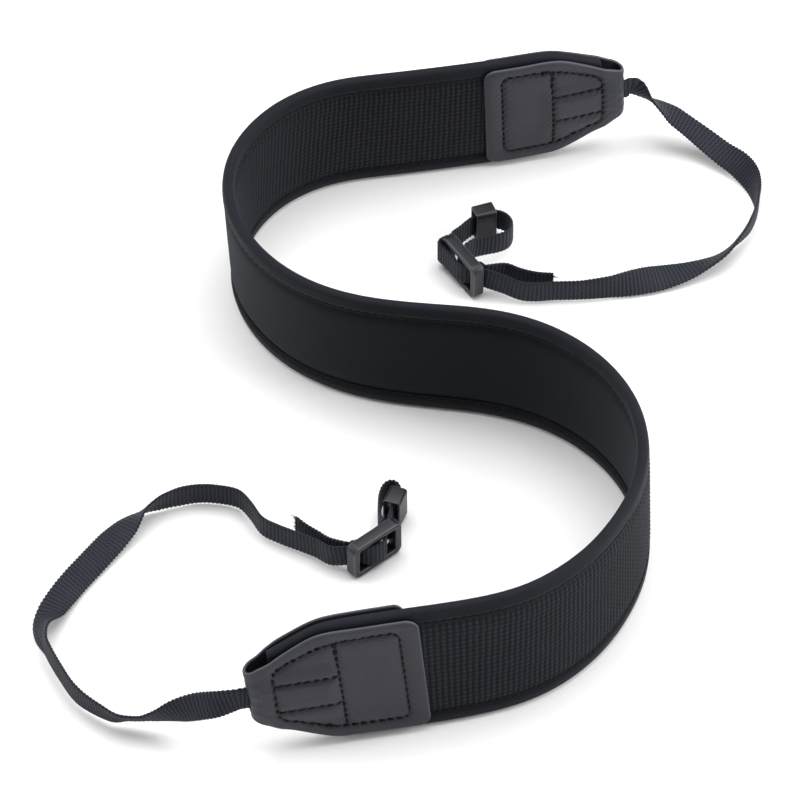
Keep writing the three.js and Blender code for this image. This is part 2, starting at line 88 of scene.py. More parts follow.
PAD_LENGTH = float(sum(row[0] for row in PAD_RUN))

# The pad's own sizes
PAD_WIDTH = 55.0
PAD_END = 9.0
PAD_TAPER_START = 27.0
PAD_TAPER_SLOPE = 0.56
TAPER_EASE = 5.0
FINE_STEP, PLAIN_STEP = 6, 8  # between the foam solid's own sections
BINDING_FACE = 7.5
BINDING_HALF = 2.05  # half its thickness
SEAM_IN = 1.7  # from the lap's edge to its seam
SEAM_PITCH = 3.1
SEAM_THREAD = 0.26

# The leather tabs
LEATHER = 1.1
LEAF_HALF = 25.2
LEAF_TAPER_START = 27.0
LEAF_TAPER_SLOPE = 0.52
LEAF_CORNER = 4.5
LEAF_CLEAR = 2.5
LEAF_BULGE = 1.5
LEAF_SEAM_IN = 4.9  # from the leaf's long edges
LEAF_SEAM_END = 6.8  # from its free edge
STITCH_LENGTH = 2.5
SLOT_REACH = 1.35
SLOT_CLEAR = 0.7
FOLD_RADIUS = (2 * LEAF_CLEAR + LEAF_BULGE) / 2
FOLD_SIDE = LEAF_BULGE / 2
FOLD_CENTRE = FOLD_RADIUS + LEATHER
TABS = {
    "upper": {
        "front": 54.0,
        "back": 55.0,
        "divide": 28.5,
        "rows": (6.2, -6.2),
        "rise": 0.0,
        "near": 9.6,
    },
    "lower": {
        "front": 60.0,
        "back": 58.0,
        "divide": 31.5,
        "rows": (4.9, -7.6),
        "rise": 1.0,
        "near": 9.0,
    },
}

# The tape, the sliders and the keepers
TAPE_WIDTH = 10.0
TAPE_THICK = 1.2
RIB = 1.5
SEWN_IN = 27.0
TAPE_HEIGHT = PAD_WIDTH / 2 - 2
TAPE_SIDE = 3.1
SLIDER = {"length": 22.0, "height": 15.0, "depth": 4.6, "end": 2.8, "corner": 2.6}
SLIDER_Z = SLIDER["height"] / 2 + 0.1
BAR = {"radius": 1.1, "back": -0.6}
KEEPER = {"length": 8.0, "thick": 6.4, "height": 13.0, "wall": 1.0}
KEEPER_Z = 6.6
ENDS = ("upper", "lower")
SLIDERS = {
    "upper": {"x": 23.0, "y": 60.2, "along": 122.0, "front": 1},
    "lower": {"x": -9.0, "y": -77.5, "along": 41.0, "front": -1},
}
KEEPERS = {
    "upper": {"x": 31.0, "y": 84.2, "along": 20.0},
    "lower": {"x": -1.7, "y": -57.4, "along": 70.0},
}

# Each tape's runs, as the middle of the tape and how far its first top edge leans left of travel.
TAPE_OUT = {
    "upper": (
        (92, 135.6, 20.8, -40),
        (98, 134.2, 16.8, -70),
        (103, 132.5, 13.5, -90),
        (112, 128.5, 8, -95),
        (120, 122.5, 5, -102),
        (127, 115.5, 4.6, -122),
        (131.5, 106, 5, -152),
        (132.5, 95, 5.2, -178),
        (129.5, 84, 5.2, -174),
        (123.5, 74.5, 5, -155),
        (117, 68, 4.1, -132),
        (108, 64, 2.3, -104),
        (98, 59.6, 2.8, -75),
        (88, 55.4, 4.4, -42),
        (77, 51.8, 5.3, -10),
        (66, 50.2, 5.2, 0),
        (56, 49.8, 5.2, 0),
        (50, 49.2, 5.2, 0),
        (44, 49.4, 5.6, 0),
        (37.5, 52, 6.6, 0),
    ),
    "lower": (
        (-62, -161.6, 23.2, -24),
        (-68.5, -159.6, 19.4, -30),
        (-75, -157.8, 15, -8),
        (-80.5, -156.8, 11.5, 18),
        (-86.8, -155.8, 8.6, 36),
        (-93.8, -154.2, 7, 34),
        (-99.8, -151.6, 6, 14),
        (-110, -143, 5.4, 2),
        (-116.6, -132, 5.2, 0),
        (-121.9, -120.5, 5.2, -2),
        (-123.6, -111.5, 4.6, -40),
        (-120.4, -102, 3.4, -92),
        (-114.2, -90.8, 3.4, -116),
        (-108, -81.5, 3.5, -118),
        (-101.6, -71.8, 3.4, -106),
        (-96, -63.8, 3.4, -78),
        (-90.4, -58, 4.9, -34),
        (-84.6, -54.3, 5.3, -12),
        (-77.6, -51.2, 5.2, 0),
        (-70.6, -49.8, 5.2, 0),
        (-63.5, -50.3, 5.2, 0),
        (-56.8, -52.4, 5.2, 0),
        (-52.4, -58, 5.2, 0),
        (-48.4, -65, 5.2, 0),
        (-42.5, -68.9, 5.2, 0),
        (-36.5, -72, 5.3, 0),
        (-29.5, -76, 5.8, 0),
        (-24.4, -80.2, 6.7, 0),
    ),
}
TAPE_LOOP = {
    "upper": (
        (19.6, 73.8, 7.2, 0),
        (22, 76.4, 7, 0),
        (24.6, 79.6, 6.8, 0),
        (27.4, 82.4, 6.6, 0),
        (30.9, 84.3, 6.6, 0),
        (34.9, 85.4, 6.6, 0),
        (38.5, 84.2, 6.5, 0),
        (40.8, 81.3, 6.4, 0),
        (41, 77.9, 6.4, 0),
        (39.4, 75, 6.4, 0),
        (36, 73, 6.5, 0),
        (31.5, 71.6, 6.7, 0),
        (27.5, 70, 7, 0),
    ),
    "lower": (
        (-4.1, -66.4, 6.9, 0),
        (-2.8, -61, 6.6, 0),
        (-1.6, -57.2, 6.6, 0),
        (-0.4, -53.8, 6.6, 0),
        (-0.5, -50.8, 6.6, 0),
        (-2.8, -49, 6.6, 0),
        (-5.5, -50.6, 6.6, 0),
        (-6.9, -54.6, 6.6, 0),
        (-7.2, -59.6, 6.6, 0),
        (-7, -64.6, 6.9, 0),
    ),
}
TAPE_TAIL = {
    "upper": ((38.5, 58, 6.4, 0), (44, 56.4, 5.5, 0), (50, 54.8, 5.2, 0), (56, 54.2, 5.2, 0)),
    "lower": (
        (-24.4, -75.8, 6, 0),
        (-28.9, -71.8, 5.4, 0),
        (-33, -68.4, 5.2, 0),
        (-36.4, -65, 5.2, 0),
    ),
}

# Threading in a slider's own plan: along the slider, and towards its outer side.
OUTER_IN = (
    (-9.5, -3.55),
    (-7.9, -3.3),
    (-6.5, -2.1),
    (-5.1, 0),
    (-3.7, 1.7),
    (-2.1, 2.6),
    (0, 2.95),
)
INNER_IN = ((-8, -4.8), (-6.2, -4.3), (-4.7, -3.1), (-3.1, -1.2), (-1.6, 0.65), (0, 1.42))
STRAIGHT_IN = ((5.3, -5.6), (4.6, -3.1), (3.1, -1.2), (1.6, 0.65))
OVER_THE_END = ((4, 3.05), (8.2, 3.3), (10.8, 3.5), (12.1, 2.4), (12.4, 0), (12.2, -2.6))


# ---------------------------------------------------------------- runs


def walk_pad():
    """The pad's middle line at each millimetre. A heading that changes evenly along each section is
    averaged over SMOOTH on both sides, and the line steps one millimetre along it."""
    rows = np.array(PAD_RUN, float)
    ends = np.concatenate([[0], np.cumsum(rows[:, 0])])
    heading = np.concatenate([[0], np.cumsum(rows[:, 1])]) + PAD_START["heading"]
    lean = np.concatenate([[PAD_START["lean"]], rows[:, 2]])
    rake = np.concatenate([[PAD_START["rake"]], rows[:, 3]])
    spread = np.arange(-SMOOTH, SMOOTH + 1)

    def eased(values, s):
        return np.radians(np.interp(s[:, None] + spread, ends, values).mean(1))

    s = np.arange(PAD_LENGTH + 1)
    half = eased(heading, s[:-1] + 0.5)
    x = PAD_START["x"] + np.concatenate([[0], np.cumsum(np.cos(half))])
    y = PAD_START["y"] + np.concatenate([[0], np.cumsum(np.sin(half))])
    return np.stack([x, y, eased(heading, s), eased(lean, s), eased(rake, s)], 1)


WALK = walk_pad()


def stack(*parts):
    """Several arrays that fit each other as the last axis of one."""
    return np.stack(np.broadcast_arrays(*parts), -1)


def on_strap(s, side, height):
    """Points at distances s along the pad, side to the left of its middle line and height up its
    own width: foot + side * left + height * up, with left and up leaning together."""
    s, side, height = np.broadcast_arrays(s, side, height)
    near = np.clip(np.floor(s).astype(int), 0, len(WALK) - 2)
    t = s - near
    inside = np.clip(t, 0, 1)
    a, b = WALK[near], WALK[near + 1]
    heading = a[..., 2] + (b[..., 2] - a[..., 2]) * inside
    lean = a[..., 3] + (b[..., 3] - a[..., 3]) * inside
    rake = a[..., 4] + (b[..., 4] - a[..., 4]) * inside
    foot = a[..., :2] + (b[..., :2] - a[..., :2]) * t[..., None]
    out = side * np.cos(lean) + height * np.sin(lean)
    ahead = height * np.tan(rake)
    return stack(
        foot[..., 0] - np.sin(heading) * out + np.cos(heading) * ahead,
        foot[..., 1] + np.cos(heading) * out + np.sin(heading) * ahead,
        height * np.cos(lean) - side * np.sin(lean),
    )


def taper(d, full, start, slope):
    """A half height that is full and then falls with the slope towards the fold, the corner between
    rounded as a hyperbola: full - slope * (x + sqrt(x^2 + ease^2)) / 2 with x = start - d."""
    beyond = start - d
    return full - (beyond + np.hypot(beyond, TAPER_EASE)) / 2 * slope


def pad_half(d):
    """Half the pad's height at a distance d from a fold."""
    return taper(d, PAD_WIDTH / 2, PAD_TAPER_START, PAD_TAPER_SLOPE)


def from_end(s):
    """The distance from the nearer fold."""
    return np.minimum(s, PAD_LENGTH - s)


def find_origin():
    """Where the part's own origin lies on these runs: the pad's box against the solid's box."""
    s = [PAD_END]
    while s[-1] < PAD_LENGTH - PAD_END - 3:
        s.append(s[-1] + (FINE_STEP if from_end(s[-1]) < PAD_TAPER_START + 3 else PLAIN_STEP))
    s = np.array([*s[:-1], PAD_LENGTH - PAD_END])[:, None]
    half = pad_half(from_end(s))
    side = np.array([-1.1, 1.1, 0.5, -0.5, -0.5, 0.5])
    rise = np.array([half - 2.2, half - 2.2, half - 1.2, half - 1.2, 1.2 - half, 1.2 - half])
    points = on_strap(s, side, PAD_WIDTH / 2 + rise[..., 0].T).reshape(-1, 3)
    low, high = (np.array(corner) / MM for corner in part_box("pad_foam"))
    middle = (points.min(0) + points.max(0)) / 2
    return np.append((middle - (low + high) / 2)[:2], points[:, 2].min() - low[2])


ORIGIN = find_origin()


def in_part(points):
    """Runs in millimetres as metres in the part's own frame."""
    return (np.asarray(points, float) - ORIGIN) * MM


# ---------------------------------------------------------------- meshes


def mesh_object(name, points, faces, uv, marks=None, smooth=True):
    """A mesh in the part's frame from points, four-cornered faces and a UV pair for each corner;
    marks are named numbers for each point, which materials read."""
    mesh = bpy.data.meshes.new(name)
    faces = np.asarray(faces, np.int32)
    mesh.vertices.add(len(points))
    mesh.vertices.foreach_set("co", in_part(points).astype(np.float32).ravel())
    mesh.loops.add(faces.size)
    mesh.loops.foreach_set("vertex_index", faces.ravel())
    mesh.polygons.add(len(faces))
    mesh.polygons.foreach_set("loop_start", np.arange(0, faces.size, 4, dtype=np.int32))
    mesh.update(calc_edges=True)
    layer = mesh.uv_layers.new(name="UVMap")
    layer.data.foreach_set("uv", np.asarray(uv, np.float32).ravel())
    for key, values in (marks or {}).items():
        mark = mesh.attributes.new(key, "FLOAT", "POINT")
        mark.data.foreach_set("value", np.asarray(values, np.float32).ravel())
    mesh.polygons.foreach_set("use_smooth", np.full(len(faces), smooth))
    mesh.validate()
    made = bpy.data.objects.new(name, mesh)
    bpy.context.scene.collection.objects.link(made)
    return made


class Shell:
    """Grids of points gathered into one closed mesh."""

    def __init__(self):
        self.points, self.faces, self.uv, self.marks = [], [], [], {}
        self.count = 0

    def add(self, points, u, v, ring=True, keep=None, **marks):
        """One grid, rows along a run and columns round it. With ring the last column meets the
        first. keep says which faces stay."""
        rows, columns = points.shape[:2]
        u, v = np.broadcast_to(u, (rows, columns)), np.broadcast_to(v, (rows, columns))
        last = columns - 1 if ring else columns
        index = np.arange(rows * last).reshape(rows, last) + self.count
        if ring:
            index = np.concatenate([index, index[:, :1]], 1)
        quads = stack(index[:-1, :-1], index[:-1, 1:], index[1:, 1:], index[1:, :-1])
        corner = [slice(None, -1), slice(1, None)]
        order = ((0, 0), (0, 1), (1, 1), (1, 0))
        places = [(corner[i], corner[j]) for i, j in order]
        uvs = np.stack([stack(u[place], v[place]) for place in places], 2)
        if keep is not None:
            quads, uvs = quads[keep], uvs[keep]
        self.points.append(points[:, :last].reshape(-1, 3))
        self.faces.append(quads.reshape(-1, 4))
        self.uv.append(uvs.reshape(-1, 2))
        for key, values in marks.items():
            full = np.broadcast_to(values, (rows, columns))[:, :last].ravel()
            self.marks.setdefault(key, []).append(full)
        self.count += rows * last
        return self

    def tube(self, points, u, v, **marks):
        """A closed ring carried along a run, with its two ends drawn in to their middles."""
        first, last = points[:1].mean(1, keepdims=True), points[-1:].mean(1, keepdims=True)
        rings = [first + (points[:1] - first) * f for f in (0.0, 0.5)]
        rings += [points]
        rings += [last + (points[-1:] - last) * f for f in (0.5, 0.0)]

        def rows(a):
            return np.concatenate([a[:1], a[:1], a, a[-1:], a[-1:]])

        shape = points.shape[:2]
        full = {key: rows(np.broadcast_to(value, shape)) for key, value in marks.items()}
        u, v = (rows(np.broadcast_to(value, shape)) for value in (u, v))
        return self.add(np.concatenate(rings), u, v, **full)

    def wall(self, keep, shape):
        """Faces between the last two grids, alike in shape, along every edge where the faces that
        stay meet those that don't."""
        rows, columns = shape
        index = np.arange(rows * columns).reshape(rows, columns)
        across = keep[1:] != keep[:-1]
        down = keep[:, 1:] != keep[:, :-1]
        a = np.concatenate([index[1:-1, :-1][across], index[:-1, 1:-1][down]])
        b = np.concatenate([index[1:-1, 1:][across], index[1:, 1:-1][down]])
        second = self.count - rows * columns
        first = second - rows * columns
        self.faces.append(np.stack([first + a, first + b, second + b, second + a], 1))
        self.uv.append(np.zeros((4 * len(a), 2)))

    def object(self, name, merge=0.001, smooth=True):
        """The finished mesh object; points nearer than merge millimetres are joined."""
        marks = {key: np.concatenate(values) for key, values in self.marks.items()}
        points, faces = np.concatenate(self.points), np.concatenate(self.faces)
        made = mesh_object(name, points, faces, np.concatenate(self.uv), marks, smooth)
        weld(made, merge * MM)
        return made


def weld(piece, distance):
    """Join doubled points and turn every face outwards."""
    work = bmesh.new()
    work.from_mesh(piece.data)
    bmesh.ops.remove_doubles(work, verts=work.verts, dist=distance)
    bmesh.ops.dissolve_degenerate(work, edges=work.edges, dist=distance / 4)
    bmesh.ops.recalc_face_normals(work, faces=work.faces)
    work.to_mesh(piece.data)
    work.free()


def closed(points):
    """A grid's rings with their first column repeated at the end."""
    return np.concatenate([points, points[:, :1]], 1)


def rng(seed):
    return np.random.default_rng(seed)


def wander(s, seed, scale, amount):
    """Slow random change along s: five waves of random phase, none shorter than scale."""
    random = rng(seed)
    waves = [
        np.sin(2 * np.pi * s / (scale * k) + phase) / n
        for n, (k, phase) in enumerate(
            zip((3.7, 2.3, 1.6, 1.25, 1.0), random.uniform(0, 6.28, 5)), start=1
        )
    ]
    return amount * sum(waves) / 2


# ---------------------------------------------------------------- shader maths


class Wire:
    """A socket, or a plain number, that Python's operators turn into Math nodes."""

    def __init__(self, shop, socket):
        self.shop = shop
        self.socket = socket

    def _math(self, operation, *values):
        return self.shop.node("Math", {"operation": operation}, *values)

    def __add__(self, other):
        return self._math("ADD", self, other)

    def __radd__(self, other):
        return self._math("ADD", other, self)

    def __sub__(self, other):
        return self._math("SUBTRACT", self, other)

    def __rsub__(self, other):
        return self._math("SUBTRACT", other, self)

    def __mul__(self, other):
        return self._math("MULTIPLY", self, other)

    def __rmul__(self, other):
        return self._math("MULTIPLY", other, self)

    def __pow__(self, other):
        return self._math("POWER", self, other)

    def sin(self):
        return self._math("SINE", self)

    def clip(self, low=0.0, high=1.0):
        return self._math("MINIMUM", self._math("MAXIMUM", self, low), high)


class Shop:
    """One material's nodes."""

    def __init__(self, name):
        self.material = bpy.data.materials.new(name)
        self.material.use_nodes = True
        self.tree = self.material.node_tree
        self.tree.nodes.clear()
        self.output = self.tree.nodes.new("ShaderNodeOutputMaterial")

    def node(self, kind, settings=None, *values, out=0, **named):
        """A node of that kind with its settings, and values or wires for its inputs in order or by
        name, None for an input left as it is; gives its chosen output as a Wire."""
        made = self.tree.nodes.new("ShaderNode" + kind)
        for key, value in (settings or {}).items():
            setattr(made, key, value)
        for slot, value in [*enumerate(values), *named.items()]:
            if value is None:
                continue
            target = made.inputs[slot if isinstance(slot, int) else slot.replace("_", " ")]
            if isinstance(value, Wire):
                self.tree.links.new(value.socket, target)
            else:
                target.default_value = value
        return Wire(self, made.outputs[out])

    def uv(self, out):
        """The piece's own UV map, in millimetres: 0 is along, 1 across."""
        return self.node("SeparateXYZ", {}, self.node("UVMap", {"uv_map": "UVMap"}), out=out)

    def object_place(self):
        return self.node("TexCoord", out=3)

    def mark(self, name):
        return self.node("Attribute", {"attribute_name": name}, out=2)

    def noise(self, place, scale, detail=3.0, roughness=0.5):
        return self.node(
            "TexNoise", {}, Vector=place, Scale=scale, Detail=detail, Roughness=roughness
        )

    def blend(self, factor, first, second):
        """Two colours, or a wire and a colour, mixed by factor."""
        settings = {"data_type": "RGBA", "clamp_factor": True}
        skipped = [None] * 5
        return self.node("Mix", settings, factor, *skipped, first, second, out=2)

    def bump(self, height, depth):
        """Height from 0 to 1 as relief of that depth in millimetres."""
        return self.node("Bump", {}, Strength=1.0, Distance=depth * MM, Height=height)

    def surface(self, **sockets):
        shader = self.node("BsdfPrincipled", {}, **sockets)
        self.tree.links.new(shader.socket, self.output.inputs[0])
        return self.material


def grey(value, tint=(0.0, 0.0, 0.0)):
    """A linear colour near grey, from a display value of 0 to 255 and a tint on it."""
    channels = [min(255.0, max(0.0, value + t)) / 255 for t in tint]
    linear = [c / 12.92 if c <= 0.04045 else ((c + 0.055) / 1.055) ** 2.4 for c in channels]
    return (*linear, 1.0)


COOL = (-1.5, 0.5, 7.5)
KNIT_TINT = (-4.0, 1.0, 9.5)


def tone(name):
    """A finish's own colour, from the settings."""
    return tuple(getattr(bpy.context.scene.strap_finish, name))


def knit_material():
    """Smooth jersey on neoprene: fine upright wales and courses, soft mottling, a faint sheen."""
    shop = Shop("neoprene_jersey")
    along, across = shop.uv(0), shop.uv(1)
    wales = (along * (2 * math.pi / 0.55)).sin()
    courses = (across * (2 * math.pi / 0.42)).sin()
    knit = wales * courses * 0.5 + 0.5
    cloud = shop.noise(shop.object_place(), 38.0, 3.0, 0.55)
    fuzz = shop.noise(shop.object_place(), 1500.0, 2.0)
    colour = shop.blend((cloud * 1.6 - 0.3).clip(), grey(11, KNIT_TINT), tone("knit"))
    colour = shop.blend(knit * fuzz * 0.6, colour, grey(31, KNIT_TINT))
    normal = shop.bump(knit + fuzz * 0.6, 0.06)
    return shop.surface(
        Base_Color=colour,
        Roughness=0.72 + 0.1 * cloud,
        Normal=normal,
        Sheen_Weight=0.05,
        Sheen_Roughness=0.45,
        Specular_IOR_Level=0.1,
    )


def mesh_material():
    """Grip mesh: raised knots that catch the light, painted shade darkening the holes between."""
    shop = Shop("grip_mesh")
    relief = shop.mark("relief")
    fine = shop.noise(shop.object_place(), 900.0, 3.0)
    patch = shop.noise(shop.object_place(), 55.0, 2.0)
    # Painted shade: the colour darkens from the knots down into the holes between them.
    colour = shop.blend(relief**1.4, grey(4, COOL), tone("net"))
    colour = shop.blend((patch * fine * 0.5).clip(), colour, grey(46, COOL))
    normal = shop.bump(fine, 0.10)
    return shop.surface(
        Base_Color=colour,
        Roughness=0.74 - 0.2 * relief,
        Normal=normal,
        Specular_IOR_Level=0.13,
    )


def binding_material():
    """Folded knit tape over the pad's edge, with a painted highlight along its crown."""
    shop = Shop("binding_tape")
    along, across = shop.uv(0), shop.uv(1)
    ribs = (across * (2 * math.pi / 0.5)).sin() * (along * (2 * math.pi / 0.7)).sin() * 0.5 + 0.5
    crown_highlight = shop.mark("crown")
    cloud = shop.noise(shop.object_place(), 90.0, 3.0, 0.6)
    fuzz = shop.noise(shop.object_place(), 1700.0, 2.0)
    colour = shop.blend((cloud * 1.4 - 0.2).clip(), grey(11, COOL), tone("binding"))
    # Painted highlight: the crown of the edge is drawn lighter, where the light falls on it.
    colour = shop.blend(crown_highlight * (0.35 + 0.4 * cloud), colour, grey(32, COOL))
    normal = shop.bump(ribs + fuzz, 0.045)
    return shop.surface(
        Base_Color=colour,
        Roughness=0.66 + 0.1 * fuzz,
        Normal=normal,
        Sheen_Weight=0.05,
        Sheen_Roughness=0.4,
        Specular_IOR_Level=0.15,
    )


def leather_material():
    """Coated leather: fine pebbled grain with small creases, a painted highlight on its rounded
    edge, painted shade in the sewn hollows."""
    shop = Shop("tab_leather")
    place = shop.object_place()
    cells = shop.node(
        "TexVoronoi", {"feature": "F1"}, Vector=place, Scale=1250.0, Randomness=1.0
    )
    creases = shop.noise(place, 420.0, 6.0, 0.65)
    cloud = shop.noise(place, 60.0, 3.0, 0.5)
    edge = shop.mark("edge")
    sewn = shop.mark("sewn")
    colour = shop.blend((cloud * 1.3 - 0.15).clip(), grey(35, (-1, 0, 9)), tone("leather"))
    colour = shop.blend((1 - cells) * creases * 0.35, colour, grey(31, (0, 0, 7)))
    # Painted highlight along the leather's rounded rim.
    colour = shop.blend(edge * 0.6, colour, grey(84, (0, 0, 8)))
    # Painted shade in the furrows along the seams.
    colour = shop.blend(sewn * 0.8, colour, grey(16, (0, 0, 4)))
    normal = shop.bump(cells * 0.6 + creases, 0.09)
    return shop.surface(
        Base_Color=colour,
        Roughness=0.46 + 0.16 * creases,
        Normal=normal,
        Specular_IOR_Level=0.35,
    )


def thread_material(name, value):
    """Twisted sewing thread: two plies that cross the stitch on the slant."""
    shop = Shop(name)
    along, across = shop.uv(0), shop.uv(1)
    ply = (along * 9.0 + across * 6.0).sin() * 0.5 + 0.5
    colour = shop.blend(ply, grey(value - 8, COOL), grey(value + 10, COOL))
    return shop.surface(
        Base_Color=colour, Roughness=0.6, Normal=shop.bump(ply, 0.06), Specular_IOR_Level=0.15
    )


def tape_material():
    """Ribbed woven tape: painted highlight on each pick's crown, painted shade between, bundled
    yarns along.
    """
    shop = Shop("ribbed_tape")
    across = shop.uv(1)
    relief = shop.mark("relief")
    yarns = (across * (2 * math.pi / 0.25)).sin() * 0.5 + 0.5
    strands = shop.noise(shop.object_place(), 1900.0, 2.0)
    cloud = shop.noise(shop.object_place(), 70.0, 2.0)
    # Painted shade and highlight: dark in the hollows between the picks, light on their crowns.
    colour = shop.blend(relief**1.5, grey(4, COOL), tone("tape"))
    colour = shop.blend(strands * cloud * 0.7, colour, grey(58, (-2, 1, 12)))
    normal = shop.bump(yarns * 0.5 + strands * 0.7, 0.07)
    return shop.surface(
        Base_Color=colour,
        Roughness=0.68 - 0.14 * relief,
        Normal=normal,
        Sheen_Weight=0.06,
        Sheen_Roughness=0.35,
        Specular_IOR_Level=0.2,
    )


def plastic_material():
    """Moulded nylon: satin, with a fine spark-eroded grain and painted highlights on its edges."""
    shop = Shop("moulded_plastic")
    place = shop.object_place()
    grain = shop.noise(place, 2600.0, 2.0)
    cloud = shop.noise(place, 240.0, 3.0)
    worn = shop.mark("worn")
    colour = shop.blend(cloud, grey(12, (-1, 0, 8)), tone("plastic"))
    # Painted highlight on the middle of each rounded edge.
    colour = shop.blend(worn * (0.35 + 0.5 * cloud), colour, grey(96, (-2, 0, 14)))
    return shop.surface(
        Base_Color=colour,
        Roughness=0.34 + 0.14 * cloud,
        Normal=shop.bump(grain, 0.02),
        Specular_IOR_Level=0.42,
    )


def floor_material():
    """Matt white paper with a hardly visible tooth."""
    shop = Shop("white_paper")
    tooth = shop.noise(shop.object_place(), 300.0, 3.0)
    colour = shop.blend(tooth, grey(244), grey(247))
    return shop.surface(Base_Color=colour, Roughness=0.9, Specular_IOR_Level=0.1)


MATERIALS = {}


def finish_piece(piece, material, slot, *nodes):
    """Give a piece its material, let it ride and stand for its solids; slot is not used."""
    makers = {
        "knit": knit_material,
        "mesh": mesh_material,
        "binding": binding_material,
        "leather": leather_material,
        "seam_thread": lambda: thread_material("seam_thread", 14),
        "tab_thread": lambda: thread_material("tab_thread", 14),
        "tape": tape_material,
        "plastic": plastic_material,
    }
    if material not in MATERIALS:
        MATERIALS[material] = makers[material]()
    piece.data.materials.clear()
    piece.data.materials.append(MATERIALS[material])
    if nodes:
        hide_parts(*nodes)
    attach(piece, BODY)
    return piece


# ---------------------------------------------------------------- the pad


def stations(start, end, step):
    return np.linspace(start, end, int(round((end - start) / step)) + 1)


def pad_body():
    """The foam with its smooth face. Across the width the smooth side rises from the binding in a
    flat arch: face(u) = 1.05 + 1.05 * (1 - |u / reach|^10)^0.6, with slow waves on it."""
    s = stations(PAD_END, PAD_LENGTH - PAD_END, 1.5)[:, None]
    half = pad_half(from_end(s)) - 1.2
    u = np.cos(np.linspace(0, np.pi, 29))[None]
    reach = (half - 6.0) / half
    arch = np.clip(1 - np.abs(u / reach) ** 10, 0, 1) ** 0.6
    puff = wander(s, 3, 34, 0.07) + 0.05 * np.sin(s / 5.5 + 3 * u) * np.abs(u) ** 3
    smooth_side = -(1.05 + (1.05 + puff) * arch)
    smooth_side = smooth_side * np.sqrt(np.clip(1 - np.abs(u) ** 30, 0, 1))
    mesh_side = 1.15 * np.sqrt(np.clip(1 - np.abs(u) ** 30, 0, 1)) + 0 * s
    height = PAD_WIDTH / 2 + half * u
    back = on_strap(s, smooth_side, height)
    front = on_strap(s, mesh_side[:, ::-1], height[:, ::-1])
    ring = closed(np.concatenate([back, front[:, 1:-1]], 1))
    v = np.concatenate([height, 2 * PAD_WIDTH - height[:, ::-1][:, 1:-1], height[:, :1] * 0], 1)
    piece = Shell().tube(ring, s, v[:, : ring.shape[1]]).object("pad_jersey_body")
    finish_piece(piece, "knit", "neoprene", "pad_foam")


def mesh_panel():
    """The grip mesh. Knots stand in a square net: height = along^0.75 * (0.35 + 0.65 *
    across^0.7), each a wave from 0 to 1 of the net's pitch, and the net wanders a little."""
    size = bpy.context.scene.strap_pad
    pitch = size.net_pitch / MM
    s = stations(38, PAD_LENGTH - 44, pitch / 4)[:, None]
    low, high = BINDING_FACE - 0.7, PAD_WIDTH - BINDING_FACE + 0.7
    h = np.linspace(low, high, int(round((high - low) / pitch * 4)) + 1)[None]
    skew = wander(s, 5, 40, 0.4) + 0.12 * wander(h * 3, 8, 9, 1.0)
    along = 0.5 + 0.5 * np.cos(2 * np.pi * (s + skew + 0.045 * h) / pitch)
    across = 0.5 + 0.5 * np.cos(2 * np.pi * (h + 0.3 * wander(s, 6, 60, 0.6)) / pitch)
    relief = along ** 0.75 * (0.35 + 0.65 * across ** 0.7)
    random = rng(11).normal(0, 0.05, relief.shape)
    relief = np.clip(relief + random * relief, 0, 1)
    inset = np.minimum(h - low, high - h)
    swell = 0.55 * np.clip(inset / 4.5, 0, 1) ** 0.5
    side = 1.65 + swell + 0.55 * (relief - 0.4) * np.clip(inset / 0.8, 0, 1)
    front = on_strap(s, side, h)
    back = on_strap(s, 1.25, h[:, ::-1])
    ring = closed(np.concatenate([front, back[:, [0, -1]]], 1))
    none = np.zeros_like(relief[:, :1])
    # The relief mark also drives the material's painted shade in the holes.
    mark = np.concatenate([relief, none, none, relief[:, :1]], 1)
    v = np.concatenate([h, [[high + 1, low - 1, low]]], 1)
    piece = Shell().tube(ring, s, v, relief=mark).object("grip_mesh_panel")
    finish_piece(piece, "mesh", "mesh", "mesh_facing")


